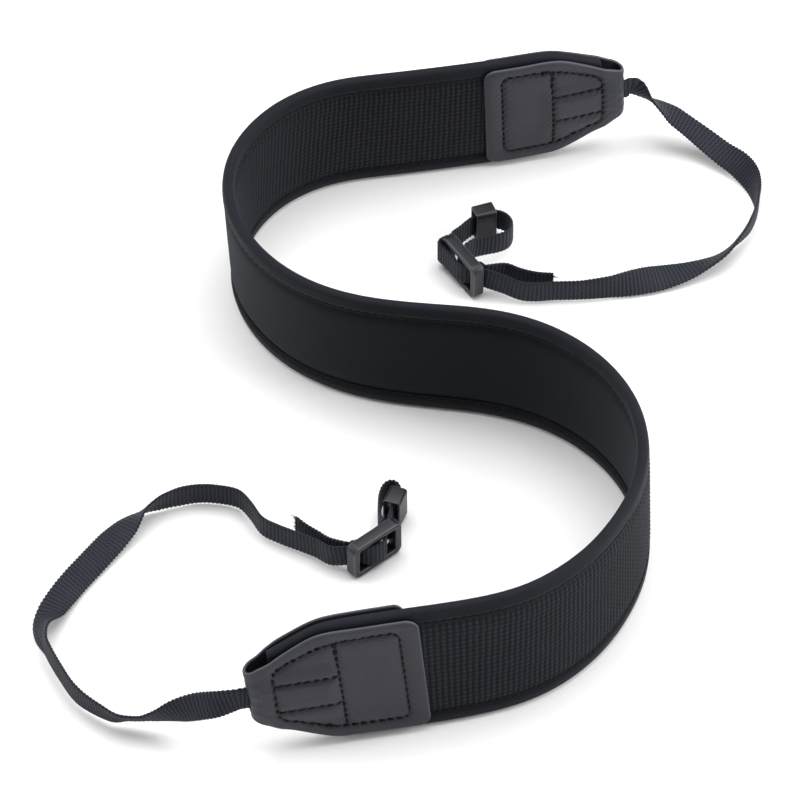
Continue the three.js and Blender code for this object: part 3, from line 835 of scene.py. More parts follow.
def binding(edge):
    """Folded tape over one edge. The outside follows a soft fold: from the lap it swells to half
    the thickness, then closes over the edge in a half ellipse; the lap is pinched by the seam."""
    top = edge == "top"
    s = stations(PAD_END, PAD_LENGTH - PAD_END, 1.0)[:, None]
    half = pad_half(from_end(s))
    turn = np.linspace(0, np.pi, 15)[None]
    leg = np.linspace(0, 1, 13)[None]
    pull = 0.5 + 0.5 * np.cos(2 * np.pi * s / SEAM_PITCH)
    depth = 0.15 + leg * (BINDING_FACE - 0.55 - 1.9) + 1.9
    seam = np.exp(-(((depth - BINDING_FACE + SEAM_IN) / 0.7) ** 2))
    lap = np.clip((BINDING_FACE - 0.4 - depth) / 0.5, 0, 1) ** 0.5
    wave = 0.10 * wander(s, 21 if top else 22, 17, 1.0)
    plump = BINDING_HALF + (0.22 + wave) * np.sin(np.pi * np.clip(leg * 1.15, 0, 1)) ** 0.8
    face = (plump - (0.34 + 0.16 * pull) * seam) * (0.78 + 0.22 * lap)
    outer_right = (face, depth)
    fold = (BINDING_HALF * np.cos(turn) + 0 * s, BINDING_HALF - (1.95 + 0.05 * pull) * np.sin(turn))
    inner = (1.38, 1.9 + 0 * s)
    right = np.concatenate([outer_right[0][:, ::-1], fold[0][:, 1:-1], -outer_right[0]], 1)
    down = np.concatenate(
        [
            (outer_right[1] + 0 * s)[:, ::-1],
            (fold[1] + 0 * s)[:, 1:-1],
            outer_right[1] + 0 * s,
        ],
        1,
    )
    last = BINDING_FACE - 0.5 + 0 * s
    inside = inner[0] * np.array([[-1, -1, 1, 1]]) + 0 * s
    inside_down = np.concatenate([last, inner[1], inner[1], last], 1)
    side = np.concatenate([right, inside], 1)
    deep = np.concatenate([down, inside_down], 1)
    height = PAD_WIDTH / 2 + (half - deep) * (1 if top else -1)
    ring = closed(on_strap(s, side, height))
    # The crown mark is highest on the edge's rounded top and sets the material's painted highlight.
    crown = np.clip(1 - deep / 3.2, 0, 1) ** 0.7
    v = np.cumsum(np.concatenate([[0], np.hypot(*np.diff([side[0], deep[0]], axis=1))]))
    v = np.append(v, v[-1] + 1)[None]
    mark = closed(crown[..., None])[..., 0]
    piece = Shell().tube(ring, s, v, crown=mark).object(f"binding_{edge}_edge")
    finish_piece(piece, "binding", "binding", f"binding_{edge}")


def stitch_shell(shell, starts, ends, lift, radius, seed):
    """Short rounded threads: each runs from its start to its end on a shallow arch
    lift * sin(pi t), its radius drawn in to nothing where it dives into the cloth."""
    random = rng(seed)
    count = len(starts)
    t = np.linspace(0, 1, 7)
    ring = np.linspace(0, 2 * np.pi, 7)
    line = starts[:, None] + (ends - starts)[:, None] * t[:, None]
    line = line + lift[:, None] * (np.sin(np.pi * t) - 0.35)[None, :, None]
    along = ends - starts
    along = along / np.linalg.norm(along, axis=1, keepdims=True)
    up = lift / np.linalg.norm(lift, axis=1, keepdims=True)
    across = np.cross(along, up)
    size = radius * (1 + random.normal(0, 0.05, count))[:, None]
    size = size * (np.sin(np.pi * np.clip(t * 0.94 + 0.03, 0, 1)) ** 0.35)[None]
    out = (
        up[:, None, None] * np.sin(ring)[None, None, :, None]
        + across[:, None, None] * np.cos(ring)[None, None, :, None]
    )
    points = line[:, :, None] + size[:, :, None, None] * out
    for one in points:
        shell.tube(one, (t * 2.5)[:, None], (ring * radius)[None])
    return shell


def run_stitches(shell, line, normal, pitch, length, radius, seed, lift=0.16):
    """Stitches at an even pitch along a polyline with its own surface normals."""
    steps = np.concatenate([[0], np.cumsum(np.linalg.norm(np.diff(line, axis=0), axis=1))])
    count = max(1, int(steps[-1] // pitch))
    gap = steps[-1] / count
    first = np.arange(count) * gap + (gap - length) / 2
    random = rng(seed)
    first = first + random.normal(0, 0.05, count)

    def at(where, values):
        return np.stack([np.interp(where, steps, values[:, k]) for k in range(3)], 1)

    starts, ends = at(first, line), at(first + length, line)
    up = at(first + length / 2, normal)
    up = up / np.linalg.norm(up, axis=1, keepdims=True)
    return stitch_shell(shell, starts, ends, up * lift, radius, seed + 1)


def binding_seams():
    """The seam that holds the binding: a row of stitches on both faces of both edges."""
    shell = Shell()
    s = stations(PAD_END + 2, PAD_LENGTH - PAD_END - 2, 1.0)
    half = pad_half(from_end(s))
    for seed, (sign, top) in enumerate(((1, 1), (1, -1), (-1, 1), (-1, -1))):
        height = PAD_WIDTH / 2 + top * (half - BINDING_FACE + SEAM_IN)
        line = on_strap(s, sign * 1.92, height)
        above = on_strap(s, sign * 2.92, height)
        run_stitches(shell, line, above - line, SEAM_PITCH, 2.3, SEAM_THREAD, 40 + seed)
    finish_piece(shell.object("binding_seam_threads"), "seam_thread", "binding")


# ---------------------------------------------------------------- the leather tabs


def leaf_half(d, length):
    """Half a leaf's height: its taper, and a quarter circle at its free corners."""
    corner = np.maximum(0, LEAF_CORNER - (length - d))
    rounding = LEAF_CORNER - np.sqrt(np.maximum(0, LEAF_CORNER**2 - corner**2))
    return taper(d, LEAF_HALF, LEAF_TAPER_START, LEAF_TAPER_SLOPE) - rounding


def smoothstep(x, low, high):
    t = np.clip((x - low) / (high - low), 0, 1)
    return t * t * (3 - 2 * t)


def front_room(d, h):
    """How far the front leaf lies from the pad's middle: it stands off over the tape's end, and is
    drawn in by its seams above and below the tape."""
    drawn = smoothstep(np.abs(h + 2), 7, 15) * smoothstep(d, FOLD_CENTRE, 15)
    return LEAF_CLEAR + LEAF_BULGE * (1 - smoothstep(d, 27, 35)) * (1 - 0.8 * drawn)


def along_tab(end, d):
    return d if end == "upper" else PAD_LENGTH - d


def seam_lines(end):
    """The sewn lines on a front leaf, each as points of distance from the fold and height from the
    middle: a frame that follows the leaf's outline, the dividing line and two rows between."""
    length, divide = TABS[end]["front"], TABS[end]["divide"]
    near, far = TABS[end]["near"], length - LEAF_SEAM_END
    d = np.linspace(near, far, 60)
    edge = taper(d, LEAF_HALF, LEAF_TAPER_START, LEAF_TAPER_SLOPE) - LEAF_SEAM_IN
    bend = np.minimum(1, np.minimum(d - near, far - d) / 2.5)
    edge = edge - 2.2 * (1 - np.sqrt(np.clip(1 - (1 - bend) ** 2, 0, 1)))
    top = np.stack([d, edge], 1)
    bottom = np.stack([d, -edge], 1)
    wide = np.stack([np.full(30, far), np.linspace(edge[-1], -edge[-1], 30)], 1)
    narrow = np.stack([np.full(20, near), np.linspace(-edge[0], edge[0], 20)], 1)
    at_divide = np.interp(divide, d, edge)
    rows = [
        np.stack([np.linspace(near, divide, 30), np.full(30, h)], 1) for h in TABS[end]["rows"]
    ]
    split = np.stack([np.full(30, divide), np.linspace(at_divide, -at_divide, 30)], 1)
    return {
        "top": top,
        "wide": wide,
        "bottom": bottom,
        "narrow": narrow,
        "split": split,
        "row_high": rows[0],
        "row_low": rows[1],
    }


def seam_distance(end, d, h):
    """How far each point of the front leaf is from the nearest sewn line."""
    points = np.concatenate(list(seam_lines(end).values()))
    away = np.full(d.shape, 99.0)
    for p in points:
        away = np.minimum(away, np.hypot(d - p[0], h - p[1]))
    return away


def front_relief(end, d, h):
    """The front leaf's relief: a furrow along each seam, and the tape under it standing up."""
    away = seam_distance(end, d, h)
    furrow = -0.55 * np.exp(-((away / 1.0) ** 2))
    under = np.clip((6.0 - np.abs(h + 1)) / 1.6, 0, 1) * (1 - smoothstep(d, 26, 33)) * 0.32
    quilt = 0.3 * np.clip(away / 4, 0, 1)
    pucker = 0.2 * np.sin(2 * np.pi * (d + h) / 3.0) * np.exp(-((away / 2.2) ** 2))
    return furrow + under + quilt + pucker


def leaf_path(end):
    """The folded leather's own path: the front leaf, round the fold and the back leaf. Gives for
    each station its distance from the fold, its inner side, its way out and its length so far."""
    front, back = TABS[end]["front"], TABS[end]["back"]
    rim = np.array([0, 0.08, 0.25, 0.5, 0.8, 1.2, 1.8, 2.6, 3.5, LEAF_CORNER])

    def straight(length):
        d = length - rim
        return np.concatenate([d, stations(FOLD_CENTRE, length - LEAF_CORNER - 0.7, 0.7)[::-1]])

    df, db = straight(front), straight(back)[::-1]
    arc = np.radians(np.linspace(90, 270, 33))[1:-1]
    d = np.concatenate([df, FOLD_CENTRE + FOLD_RADIUS * np.cos(arc), db])
    round_fold = FOLD_SIDE + FOLD_RADIUS * np.sin(arc)
    side = np.concatenate([front_room(df, 0 * df), round_fold, 0 * db - LEAF_CLEAR])
    way = np.stack(
        [
            np.concatenate([0 * df, np.cos(arc), 0 * db]),
            np.concatenate([0 * df + 1, np.sin(arc), 0 * db - 1]),
        ],
        1,
    )
    place = np.concatenate([[0], np.cumsum(np.hypot(np.diff(d), np.diff(side)))])
    kind = np.concatenate([0 * df, 0 * arc + 1, 0 * db + 2])
    return d, side, way, place, kind


def tab(end):
    """One folded leather piece. Both skins are carried along the same path; towards every cut edge
    the wall closes in a half circle, so the rim is round and the shell has no gap."""
    d, side, way, place, kind = leaf_path(end)
    front, back = TABS[end]["front"], TABS[end]["back"]
    rim = np.array([0, 0.06, 0.2, 0.45, 0.8, 1.2]) / 25
    v = np.concatenate([rim, np.linspace(2.0 / 25, 1.0, 34)])
    v = np.concatenate([v - 1, (1 - v)[::-1][1:]])
    outer_d = d + LEATHER * way[:, 0]
    half_front = leaf_half(np.maximum(outer_d, 0), front)
    half_back = leaf_half(np.maximum(outer_d, 0), back)
    half = np.where(kind == 2, half_back, half_front)
    rise = np.clip(pad_half(np.maximum(outer_d, 0)) + 0.1 - half_back, 0, 4)
    rise = rise * TABS[end]["rise"] * np.where(kind == 2, smoothstep(outer_d, 4, 14), 0)
    rise = rise * smoothstep(back - outer_d, 0, LEAF_CORNER)
    rise = rise + 1.2 * (kind == 0) * np.exp(-(((outer_d - 24) / 9) ** 2))
    v2, half2 = v[None], half[:, None]
    h = v2 * half2 + rise[:, None] * np.clip(v2, 0, 1) ** 4
    flat_end = np.minimum(place, place[-1] - place)[:, None]
    rim_away = np.minimum((1 - np.abs(v2)) * half2, flat_end)
    radius = LEATHER / 2
    wall = np.sqrt(np.clip(1 - (1 - np.clip(rim_away / radius, 0, 1)) ** 2, 0, 1))
    dd = np.broadcast_to(d[:, None], h.shape)
    away = seam_distance(end, dd, h)
    drawn_in = -0.35 * np.exp(-((away / 1.0) ** 2)) * (kind[:, None] == 2)
    relief = np.where(kind[:, None] == 0, front_relief(end, dd, h), drawn_in)
    relief = relief * np.clip(rim_away / 2.0, 0, 1)
    buckle = 0.35 * wander(dd * 1.3 + 2 * np.sin(h / 8), 31, 12, 1.0) * (kind[:, None] == 2)
    relief = relief + buckle * np.clip(rim_away / 4, 0, 1) * 0.4
    crease = np.where(kind[:, None] == 1, 0.12 * np.sin(h * 1.1) * np.cos(h * 0.37), 0)
    crease = crease * np.clip(rim_away / 2.0, 0, 1)
    side = np.where(kind[:, None] == 0, front_room(dd, h), side[:, None])
    pinch = smoothstep(np.abs(h + 2), 6.5, 12) * (1 - smoothstep(dd, FOLD_CENTRE, 9.5))
    side = FOLD_SIDE + (side - FOLD_SIDE) * (1 - 0.25 * pinch)
    outer_off = radius + radius * wall + relief + crease
    inner_off = radius - radius * wall + 0 * relief

    def skin(off):
        s = along_tab(end, dd + off * way[:, :1])
        return on_strap(s, side + off * way[:, 1:], PAD_WIDTH / 2 + h)

    # sewn marks the furrows along the seams, where the leather material paints shade.
    sewn = np.where(kind[:, None] == 1, 0, np.exp(-((away / 0.62) ** 2)))
    # edge marks the rounded rim, where the leather material paints a highlight.
    edge = np.clip(1 - rim_away / 0.75, 0, 1)
    slot_half = TAPE_WIDTH / 2 + SLOT_CLEAR
    fold_place = place[np.argmin(d)]
    inside = np.abs(place[:, None] - fold_place) < SLOT_REACH
    inside = inside & (np.abs(h - TAPE_HEIGHT + PAD_WIDTH / 2) < slot_half)
    solid = ~(inside[:-1, :-1] & inside[1:, :-1] & inside[:-1, 1:] & inside[1:, 1:])
    shell = Shell()
    for off in (outer_off, inner_off):
        shell.add(skin(off), place[:, None], h, ring=False, keep=solid, edge=edge, sewn=sewn)
    shell.wall(solid, h.shape)
    piece = shell.object(f"leather_{end}_tab", merge=0.004)
    finish_piece(piece, "leather", "leather", f"leather_tab_{end}")


def tab_seams(end):
    """The tab's stitches, lying in the furrows of both leaves, with a few sewn over at the
    dividing line's head and a small tuft of thread ends on one long seam."""
    shell = Shell()
    size = bpy.context.scene.strap_pad
    pitch, thread = size.stitch_pitch / MM, size.stitch_thread / MM

    def lift(points, off):
        d, h = points[:, 0], points[:, 1]
        side = front_room(d, h) + LEATHER + front_relief(end, d, h) + off
        return on_strap(along_tab(end, d), side, PAD_WIDTH / 2 + h)

    def lift_behind(points, off):
        d, h = points[:, 0], points[:, 1]
        side = -(LEAF_CLEAR + LEATHER - 0.35 + off)
        return on_strap(along_tab(end, d), side, PAD_WIDTH / 2 + h)

    for seed, points in enumerate(seam_lines(end).values()):
        for reach in (lift, lift_behind):
            line, above = reach(points, 0.10), reach(points, 1.10)
            run_stitches(
                shell, line, above - line, pitch, STITCH_LENGTH, thread / 2, 60 + seed, lift=0.16
            )
    lines = seam_lines(end)
    head = lines["split"][0]
    for k, (shift, slant) in enumerate(((-0.5, 0.25), (0.45, -0.2), (0.1, 0.5), (-0.2, -0.5))):
        points = np.stack(
            [head[0] + shift + slant * np.linspace(-1, 1, 6), head[1] - np.linspace(-1, 5.5, 6)], 1
        )
        line, above = lift(points, 0.2), lift(points, 1.2)
        run_stitches(shell, line, above - line, 2.6, 2.1, 0.28, 80 + k, lift=0.2)
    side = "top" if end == "upper" else "bottom"
    spot = lines[side][34 if end == "upper" else 22]
    random = rng(7)
    for k in range(5):
        swing = random.uniform(-1, 1, 2)
        t = np.linspace(0, 1, 6)
        points = np.stack([spot[0] + swing[0] * 2.2 * t, spot[1] + swing[1] * 1.5 * t], 1)
        line, above = lift(points, 0.25), lift(points, 1.25)
        run_stitches(shell, line, above - line, 2.4, 2.0, 0.3, 90 + k, lift=0.5)
    finish_piece(shell.object(f"tab_{end}_threads"), "tab_thread", "leather")


# ---------------------------------------------------------------- the tapes


def on_slider(end, rows, z=SLIDER_Z):
    """Threading rows in the slider's own plan as rows of a tape's run."""
    place = SLIDERS[end]
    heading = math.radians(place["along"])
    c, s, front = math.cos(heading), math.sin(heading), place["front"]
    return [
        (place["x"] + a * c - front * b * s, place["y"] + a * s + front * b * c, z, 0.0)
        for a, b in rows
    ]


def mirrored(rows):
    return [(-a, b) for a, b in rows[:-1]][::-1]


def inside_tab(end):
    """The tape sewn inside a tab, then out through the slot in the fold."""
    rows = (
        (SEWN_IN, TAPE_SIDE),
        (SEWN_IN - 8, TAPE_SIDE),
        (PAD_END + 1, TAPE_SIDE),
        (PAD_END - 4, (TAPE_SIDE + FOLD_SIDE) / 2 + 0.3),
        (0.5, FOLD_SIDE),
        (-4.0, FOLD_SIDE),
    )
    lean = -PAD_START["lean"] if end == "upper" else PAD_RUN[-1][2]
    return [
        (*on_strap(np.float64(along_tab(end, d)), side, TAPE_HEIGHT), lean) for d, side in rows
    ]


def tape_rows(end):
    outer_out = OVER_THE_END if end == "upper" else mirrored(OUTER_IN)
    inner_back = STRAIGHT_IN if end == "upper" else mirrored(INNER_IN)[::-1]
    return np.array(
        [
            *inside_tab(end),
            *TAPE_OUT[end],
            *on_slider(end, OUTER_IN),
            *on_slider(end, outer_out),
            *TAPE_LOOP[end],
            *on_slider(end, inner_back),
            *on_slider(end, INNER_IN[::-1]),
            *TAPE_TAIL[end],
        ],
        float,
    )


def tape_line(end, step):
    """A curve through the rows whose slope at each is half the way from the row before to the one
    after, walked at an even step: place, lean and length so far."""
    rows = tape_rows(end)
    padded = np.concatenate([[2 * rows[0] - rows[1]], rows, [2 * rows[-1] - rows[-2]]])
    t = np.linspace(0, 1, 40, endpoint=False)[:, None]
    pieces = []
    for a, b, c, d in zip(padded, padded[1:], padded[2:], padded[3:]):
        m, n = (c - a) / 2, (d - b) / 2
        curve = b + m * t + (3 * (c - b) - 2 * m - n) * t**2 + (2 * (b - c) + m + n) * t**3
        curve[:, 3] = (b + (c - b) * t)[:, 3]
        pieces.append(curve)
    line = np.concatenate([*pieces, rows[-1:]])
    run = np.concatenate([[0], np.cumsum(np.linalg.norm(np.diff(line[:, :3], axis=0), axis=1))])
    at = np.linspace(0, run[-1], int(round(run[-1] / step)) + 1)
    even = np.stack([np.interp(at, run, line[:, k]) for k in range(4)], 1)
    width = max(1, int(round(1.2 / step)))
    kernel = np.hanning(2 * width + 3)[1:-1]
    kernel = kernel / kernel.sum()
    ends = np.pad(even, ((width, width), (0, 0)), mode="reflect", reflect_type="odd")
    even = np.stack([np.convolve(ends[:, k], kernel, "valid") for k in range(4)], 1)
    return even, at


def tape_frames(line):
    """The tape's middle, the way along its width and the way out of its face."""
    middle, lean = line[:, :3], np.radians(line[:, 3:4])
    tangent = np.gradient(middle, axis=0)
    tangent /= np.linalg.norm(tangent, axis=1, keepdims=True)
    left = np.cross([0.0, 0.0, 1.0], tangent)
    left /= np.linalg.norm(left, axis=1, keepdims=True)
    up = np.cross(tangent, left)
    width = up * np.cos(lean) + left * np.sin(lean)
    return middle, width, np.cross(tangent, width), tangent


def tape(end):
    """Ribbed tape. Across each face stand rounded warps, and each crosses the picks in turn:
    relief = rounded wave of the picks, set ahead and behind by a ninth of a pick on alternate
    warps, and higher along each warp's middle; the selvedge bulges at each pick."""
    line, run = tape_line(end, RIB / 6)
    middle, width, face, _ = tape_frames(line)
    warps = 9
    per = 3
    a = np.linspace(-1, 1, warps * per + 1)[None]
    column = (a + 1) / 2 * warps
    s = run[:, None]
    shift = np.pi * 0.22 * np.cos(np.pi * column)
    pick = 0.5 + 0.5 * np.cos(2 * np.pi * s / RIB + shift)
    warp = np.abs(np.sin(np.pi * column)) ** 0.5
    relief = pick**0.7 * (0.72 + 0.28 * warp)
    rounding = np.sqrt(np.clip(1 - np.abs(a) ** 8, 0, 1))
    scallop = 0.36 * (0.5 + 0.5 * np.cos(2 * np.pi * s / RIB)) ** 0.8
    half = TAPE_WIDTH / 2 - 0.26 + scallop + wander(s, 51, 12, 0.03)
    thick = (TAPE_THICK / 2 - 0.14 + 0.24 * relief) * rounding
    back_pick = 0.5 + 0.5 * np.cos(2 * np.pi * s / RIB + shift + np.pi)
    back_relief = back_pick**0.7 * (0.72 + 0.28 * warp)
    back_thick = (TAPE_THICK / 2 - 0.14 + 0.24 * back_relief) * rounding
    across = np.concatenate([a * half, (a * half)[:, ::-1][:, 1:-1]], 1)
    deep = np.concatenate([thick, -back_thick[:, ::-1][:, 1:-1]], 1)
    # The relief mark also sets the material's painted highlight on the crowns and shade between.
    mark = np.concatenate([relief, back_relief[:, ::-1][:, 1:-1]], 1)
    points = (
        middle[:, None]
        + across[..., None] * width[:, None]
        + deep[..., None] * face[:, None]
    )
    points[..., 2] = np.maximum(points[..., 2], ORIGIN[2] + 0.02)
    ring, marks = closed(points), closed(mark[..., None])[..., 0]
    v = np.concatenate([a * 5, 20 - (a * 5)[:, ::-1][:, 1:-1], [[-5 + 30]]], 1)
    piece = Shell().tube(ring, s, v, relief=marks).object(f"ribbed_{end}_tape")
    finish_piece(piece, "tape", "webbing", f"webbing_{end}")
    fray = tape_fray(end, line)
    path = in_part(middle[:: 12])


def tape_fray(end, line):
    """The cut end: short loose yarns that spread from the tape's last pick."""
    middle, width, face, tangent = tape_frames(line)
    random = rng(77 if end == "upper" else 78)
    count = 46
    shell = Shell()
    across = random.uniform(-4.9, 4.9, count)
    deep = random.uniform(-0.4, 0.4, count)
    start = middle[-1] + across[:, None] * width[-1] + deep[:, None] * face[-1] - 0.6 * tangent[-1]
    reach = random.uniform(0.7, 1.9, count) + 1.3 * (random.uniform(0, 1, count) > 0.9)
    swing = random.normal(0, 0.35, (count, 3))
    goal = start + reach[:, None] * (tangent[-1] + swing)
    goal[:, 2] = np.maximum(goal[:, 2], ORIGIN[2] + 0.3)
    t = np.linspace(0, 1, 6)[:, None]
    turn = np.linspace(0, 2 * np.pi, 6)
    for a, b, droop in zip(start, goal, random.normal(0, 0.25, (count, 3))):
        curve = a + (b - a) * t + droop * np.sin(np.pi * t)
        size = 0.13 * (1 - 0.6 * t[:, 0])
        out = np.cos(turn)[:, None] * width[-1] + np.sin(turn)[:, None] * face[-1]
        shell.tube(curve[:, None] + size[:, None, None] * out[None], t * 2, turn[None], relief=0.6)
    piece = shell.object(f"cut_{end}_yarns")
    return finish_piece(piece, "tape", "webbing")


# ---------------------------------------------------------------- the plastic pieces


def stand(points, place, z):
    """A piece made in its own plan, along, up and out, stood upright at its place."""
    front = place.get("front", 1)
    heading = math.radians(place["along"])
    c, s = math.cos(heading), math.sin(heading)
    along, up, out = points[..., 0], points[..., 1], points[..., 2]
    return stack(
        place["x"] + along * c - front * out * s,
        place["y"] + along * s + front * out * c,
        z + up,
    )


def rounded_outline(width, height, radius, turn):
    """A rectangle with quarter-circle corners, read by angle: straight sides and corner arcs share
    the turn by their own length."""
    w, h = width / 2 - radius, height / 2 - radius
    corners = ((w, h, 0), (-w, h, 90), (-w, -h, 180), (w, -h, 270))
    points = []
    for x, y, angle in corners:
        arc = np.radians(np.linspace(angle, angle + 90, 9))
        points.append(np.stack([x + radius * np.cos(arc), y + radius * np.sin(arc)], 1))
    outline = np.concatenate([*points, points[0][:1]])
    run = np.concatenate([[0], np.cumsum(np.hypot(*np.diff(outline, axis=0).T))])
    return np.stack([np.interp(turn * run[-1], run, outline[:, k]) for k in range(2)], 1)


def frame_ring(width, height, corner, inner_width, inner_height, inner_corner, depth, bevel):
    """A moulded frame as one closed ring: its section is a rectangle between the inner and outer
    outline with rounded edges, carried round the outline."""
    turn = np.linspace(0, 1, 145)
    outer = rounded_outline(width, height, corner, turn)
    inner = rounded_outline(inner_width, inner_height, inner_corner, turn)
    arc = np.radians(np.linspace(0, 90, 6))
    span = np.hypot(*(outer - inner).T)[:, None]
    edge = bevel / span
    ramp = 1 - edge * (1 - np.sin(arc))
    drop = depth / 2 - bevel * (1 - np.cos(arc))
    share = np.concatenate([ramp, ramp[:, ::-1], 1 - ramp, 1 - ramp[:, ::-1]], 1)
    z = np.concatenate([drop, -drop[::-1], -drop, drop[::-1]])[None] + 0 * span
    # This mark peaks on the middle of each rounded edge, where the plastic paints a highlight.
    worn = np.concatenate([np.sin(2 * arc) ** 2] * 4)[None] + 0 * span
    points = inner[:, None] + share[..., None] * (outer - inner)[:, None]
    ring = closed(stack(points[..., 0], points[..., 1], z))
    return ring, turn[:, None] * 60, closed(worn[..., None])[..., 0]


def slider(end):
    """A tri-glide slider: a rounded frame, and a round centre bar set back in its window."""
    window = TAPE_WIDTH + 0.6
    ring, u, worn = frame_ring(
        SLIDER["length"],
        SLIDER["height"],
        SLIDER["corner"],
        SLIDER["length"] - 2 * SLIDER["end"],
        window,
        0.9,
        SLIDER["depth"],
        0.75,
    )
    shell = Shell()
    v = np.arange(ring.shape[1])[None] * 0.8
    place = SLIDERS[end]
    shell.add(stand(ring, place, SLIDER_Z), u, v, worn=worn)
    up = np.linspace(-window / 2 - 0.6, window / 2 + 0.6, 12)[:, None]
    turn = np.linspace(0, 2 * np.pi, 21)[None]
    bar = stack(
        BAR["radius"] * np.cos(turn) + 0 * up, up, BAR["back"] + BAR["radius"] * np.sin(turn)
    )
    shell.tube(stand(bar, place, SLIDER_Z), up, turn, worn=0.0)
    piece = shell.object(f"slider_{end}_frame", merge=0.002)
    finish_piece(piece, "plastic", "plastic", f"slider_{end}")


def keeper(end):
    """A moulded sleeve: a rectangular tube with rounded edges, its ends softened, and a narrow
    moulding groove along its top."""
    place = KEEPERS[end]
    turn = np.linspace(0, 1, 97)
    size = (KEEPER["thick"], KEEPER["height"])
    outer = rounded_outline(*size, 1.1, turn)
    inner = rounded_outline(size[0] - 2 * KEEPER["wall"], size[1] - 2 * KEEPER["wall"], 0.5, turn)
    half, soft = KEEPER["length"] / 2, 0.45
    arc = np.radians(np.linspace(0, 90, 5))
    drawn = 1 - 0.4 * (1 - np.sin(arc))
    share = np.concatenate([drawn, drawn[::-1]])
    back_off = soft * (1 - np.cos(arc))
    along = np.concatenate([back_off - half, half - back_off[::-1]])
    share = np.concatenate([share, 1 - share])
    along = np.concatenate([along, along[::-1]])
    # This mark peaks on the middle of each rounded end, where the plastic paints a highlight.
    worn = np.tile(np.concatenate([np.sin(2 * arc) ** 2, np.sin(2 * arc)[::-1] ** 2]), 2)
    points = inner[:, None] + share[None, :, None] * (outer - inner)[:, None]
    ring = stack(along[None] + 0 * points[..., 0], points[..., 1], points[..., 0])
    groove = (np.abs(ring[..., 2]) < 0.35) & (ring[..., 1] > 0) & (share[None] > 0.9)
    groove = groove & (np.abs(ring[..., 0]) < half - 1.0)
    ring[..., 1] -= 0.35 * groove
    shell = Shell()
    u = turn[:, None] * 36
    v = np.arange(len(share) + 1)[None] * 0.8
    mark = closed(worn[None, :, None] + 0 * ring[..., :1])[..., 0]
    shell.add(stand(closed(ring), place, KEEPER_Z), u, v, worn=mark)
    piece = shell.object(f"keeper_{end}_sleeve", merge=0.002)
    finish_piece(piece, "plastic", "plastic", f"keeper_{end}")


# ---------------------------------------------------------------- the stage


def area_light(name, place, aim, size, power):
    lamp = bpy.data.lights.new(name, "AREA")
    lamp.shape = "RECTANGLE"
    lamp.size, lamp.size_y = size
    lamp.energy = power
    made = bpy.data.objects.new(name, lamp)
    made.location = place
    made.rotation_euler = (Vector(aim) - Vector(place)).to_track_quat("-Z", "Y").to_euler()
    bpy.context.scene.collection.objects.link(made)
    return made


def floor():
    """A wide flat sheet of paper, just under the strap."""
    x = np.linspace(-3, 3, 25)
    grid = stack(x[:, None], x[None], np.full((25, 25), -0.0004)) / MM + ORIGIN
    shell = Shell().add(grid, x[:, None], x[None], ring=False)
    piece = shell.object("paper_floor")
    if piece.data.polygons[0].normal.z < 0:
        piece.data.flip_normals()
    piece.data.materials.append(floor_material())


# ---------------------------------------------------------------- the add-on


class StrapPadSettings(bpy.types.PropertyGroup):
    """Sizes of the pad's surfaces."""

    net_pitch: bpy.props.FloatProperty(
        name="Net pitch",
        description="Distance between the raised knots of the grip mesh",
        default=2.0 * MM,
        unit="LENGTH",
        precision=4,
    )
    stitch_pitch: bpy.props.FloatProperty(
        name="Stitch pitch",
        description="From one stitch on a tab to the next",
        default=3.0 * MM,
        unit="LENGTH",
        precision=4,
    )
    stitch_thread: bpy.props.FloatProperty(
        name="Thread",
        description="Thickness of the thread on the tabs",
        default=1.04 * MM,
        unit="LENGTH",
        precision=5,
    )


def finish_colour(name, description, default):
    return bpy.props.FloatVectorProperty(
        name=name, description=description, default=default, size=4, min=0, max=1, subtype="COLOR"
    )


class StrapFinishSettings(bpy.types.PropertyGroup):
    """The colour that each finish has where it is lightest in its own mottling."""

    knit: finish_colour("Jersey", "The pad's smooth face", grey(17, KNIT_TINT))
    net: finish_colour("Grip mesh", "The mesh's raised knots", grey(38, COOL))
    binding: finish_colour("Binding", "The folded tape over the edges", grey(17, COOL))
    leather: finish_colour("Leather", "The tabs", grey(43, (-1, 0, 10)))
    tape: finish_colour("Tape", "The crowns of the tape's ribs", grey(44, (-3, 1, 11)))
    plastic: finish_colour("Plastic", "The sliders and keepers", grey(18, (-1, 0, 9)))


class StrapStageSettings(bpy.types.PropertyGroup):
    """Camera, lights and paper."""

    elevation: bpy.props.FloatProperty(
        name="Camera height angle",
        description="How far the camera looks down",
        default=math.radians(47),
        subtype="ANGLE",
    )
    distance: bpy.props.FloatProperty(
        name="Camera distance",
        description="From the camera to the point it looks at",
        default=2.0,
        unit="LENGTH",
    )
    lens: bpy.props.FloatProperty(
        name="Lens",
        description="Focal length on a 36 mm sensor",
        default=250.2,
        unit="CAMERA",
    )
    world: bpy.props.FloatProperty(
        name="Room light",
        description="Strength of the even white light from all round",
        default=0.3,
    )


AIM = (0, 0.1, 0)
SENSOR = 36
WHITE = (1, 1, 1, 1)


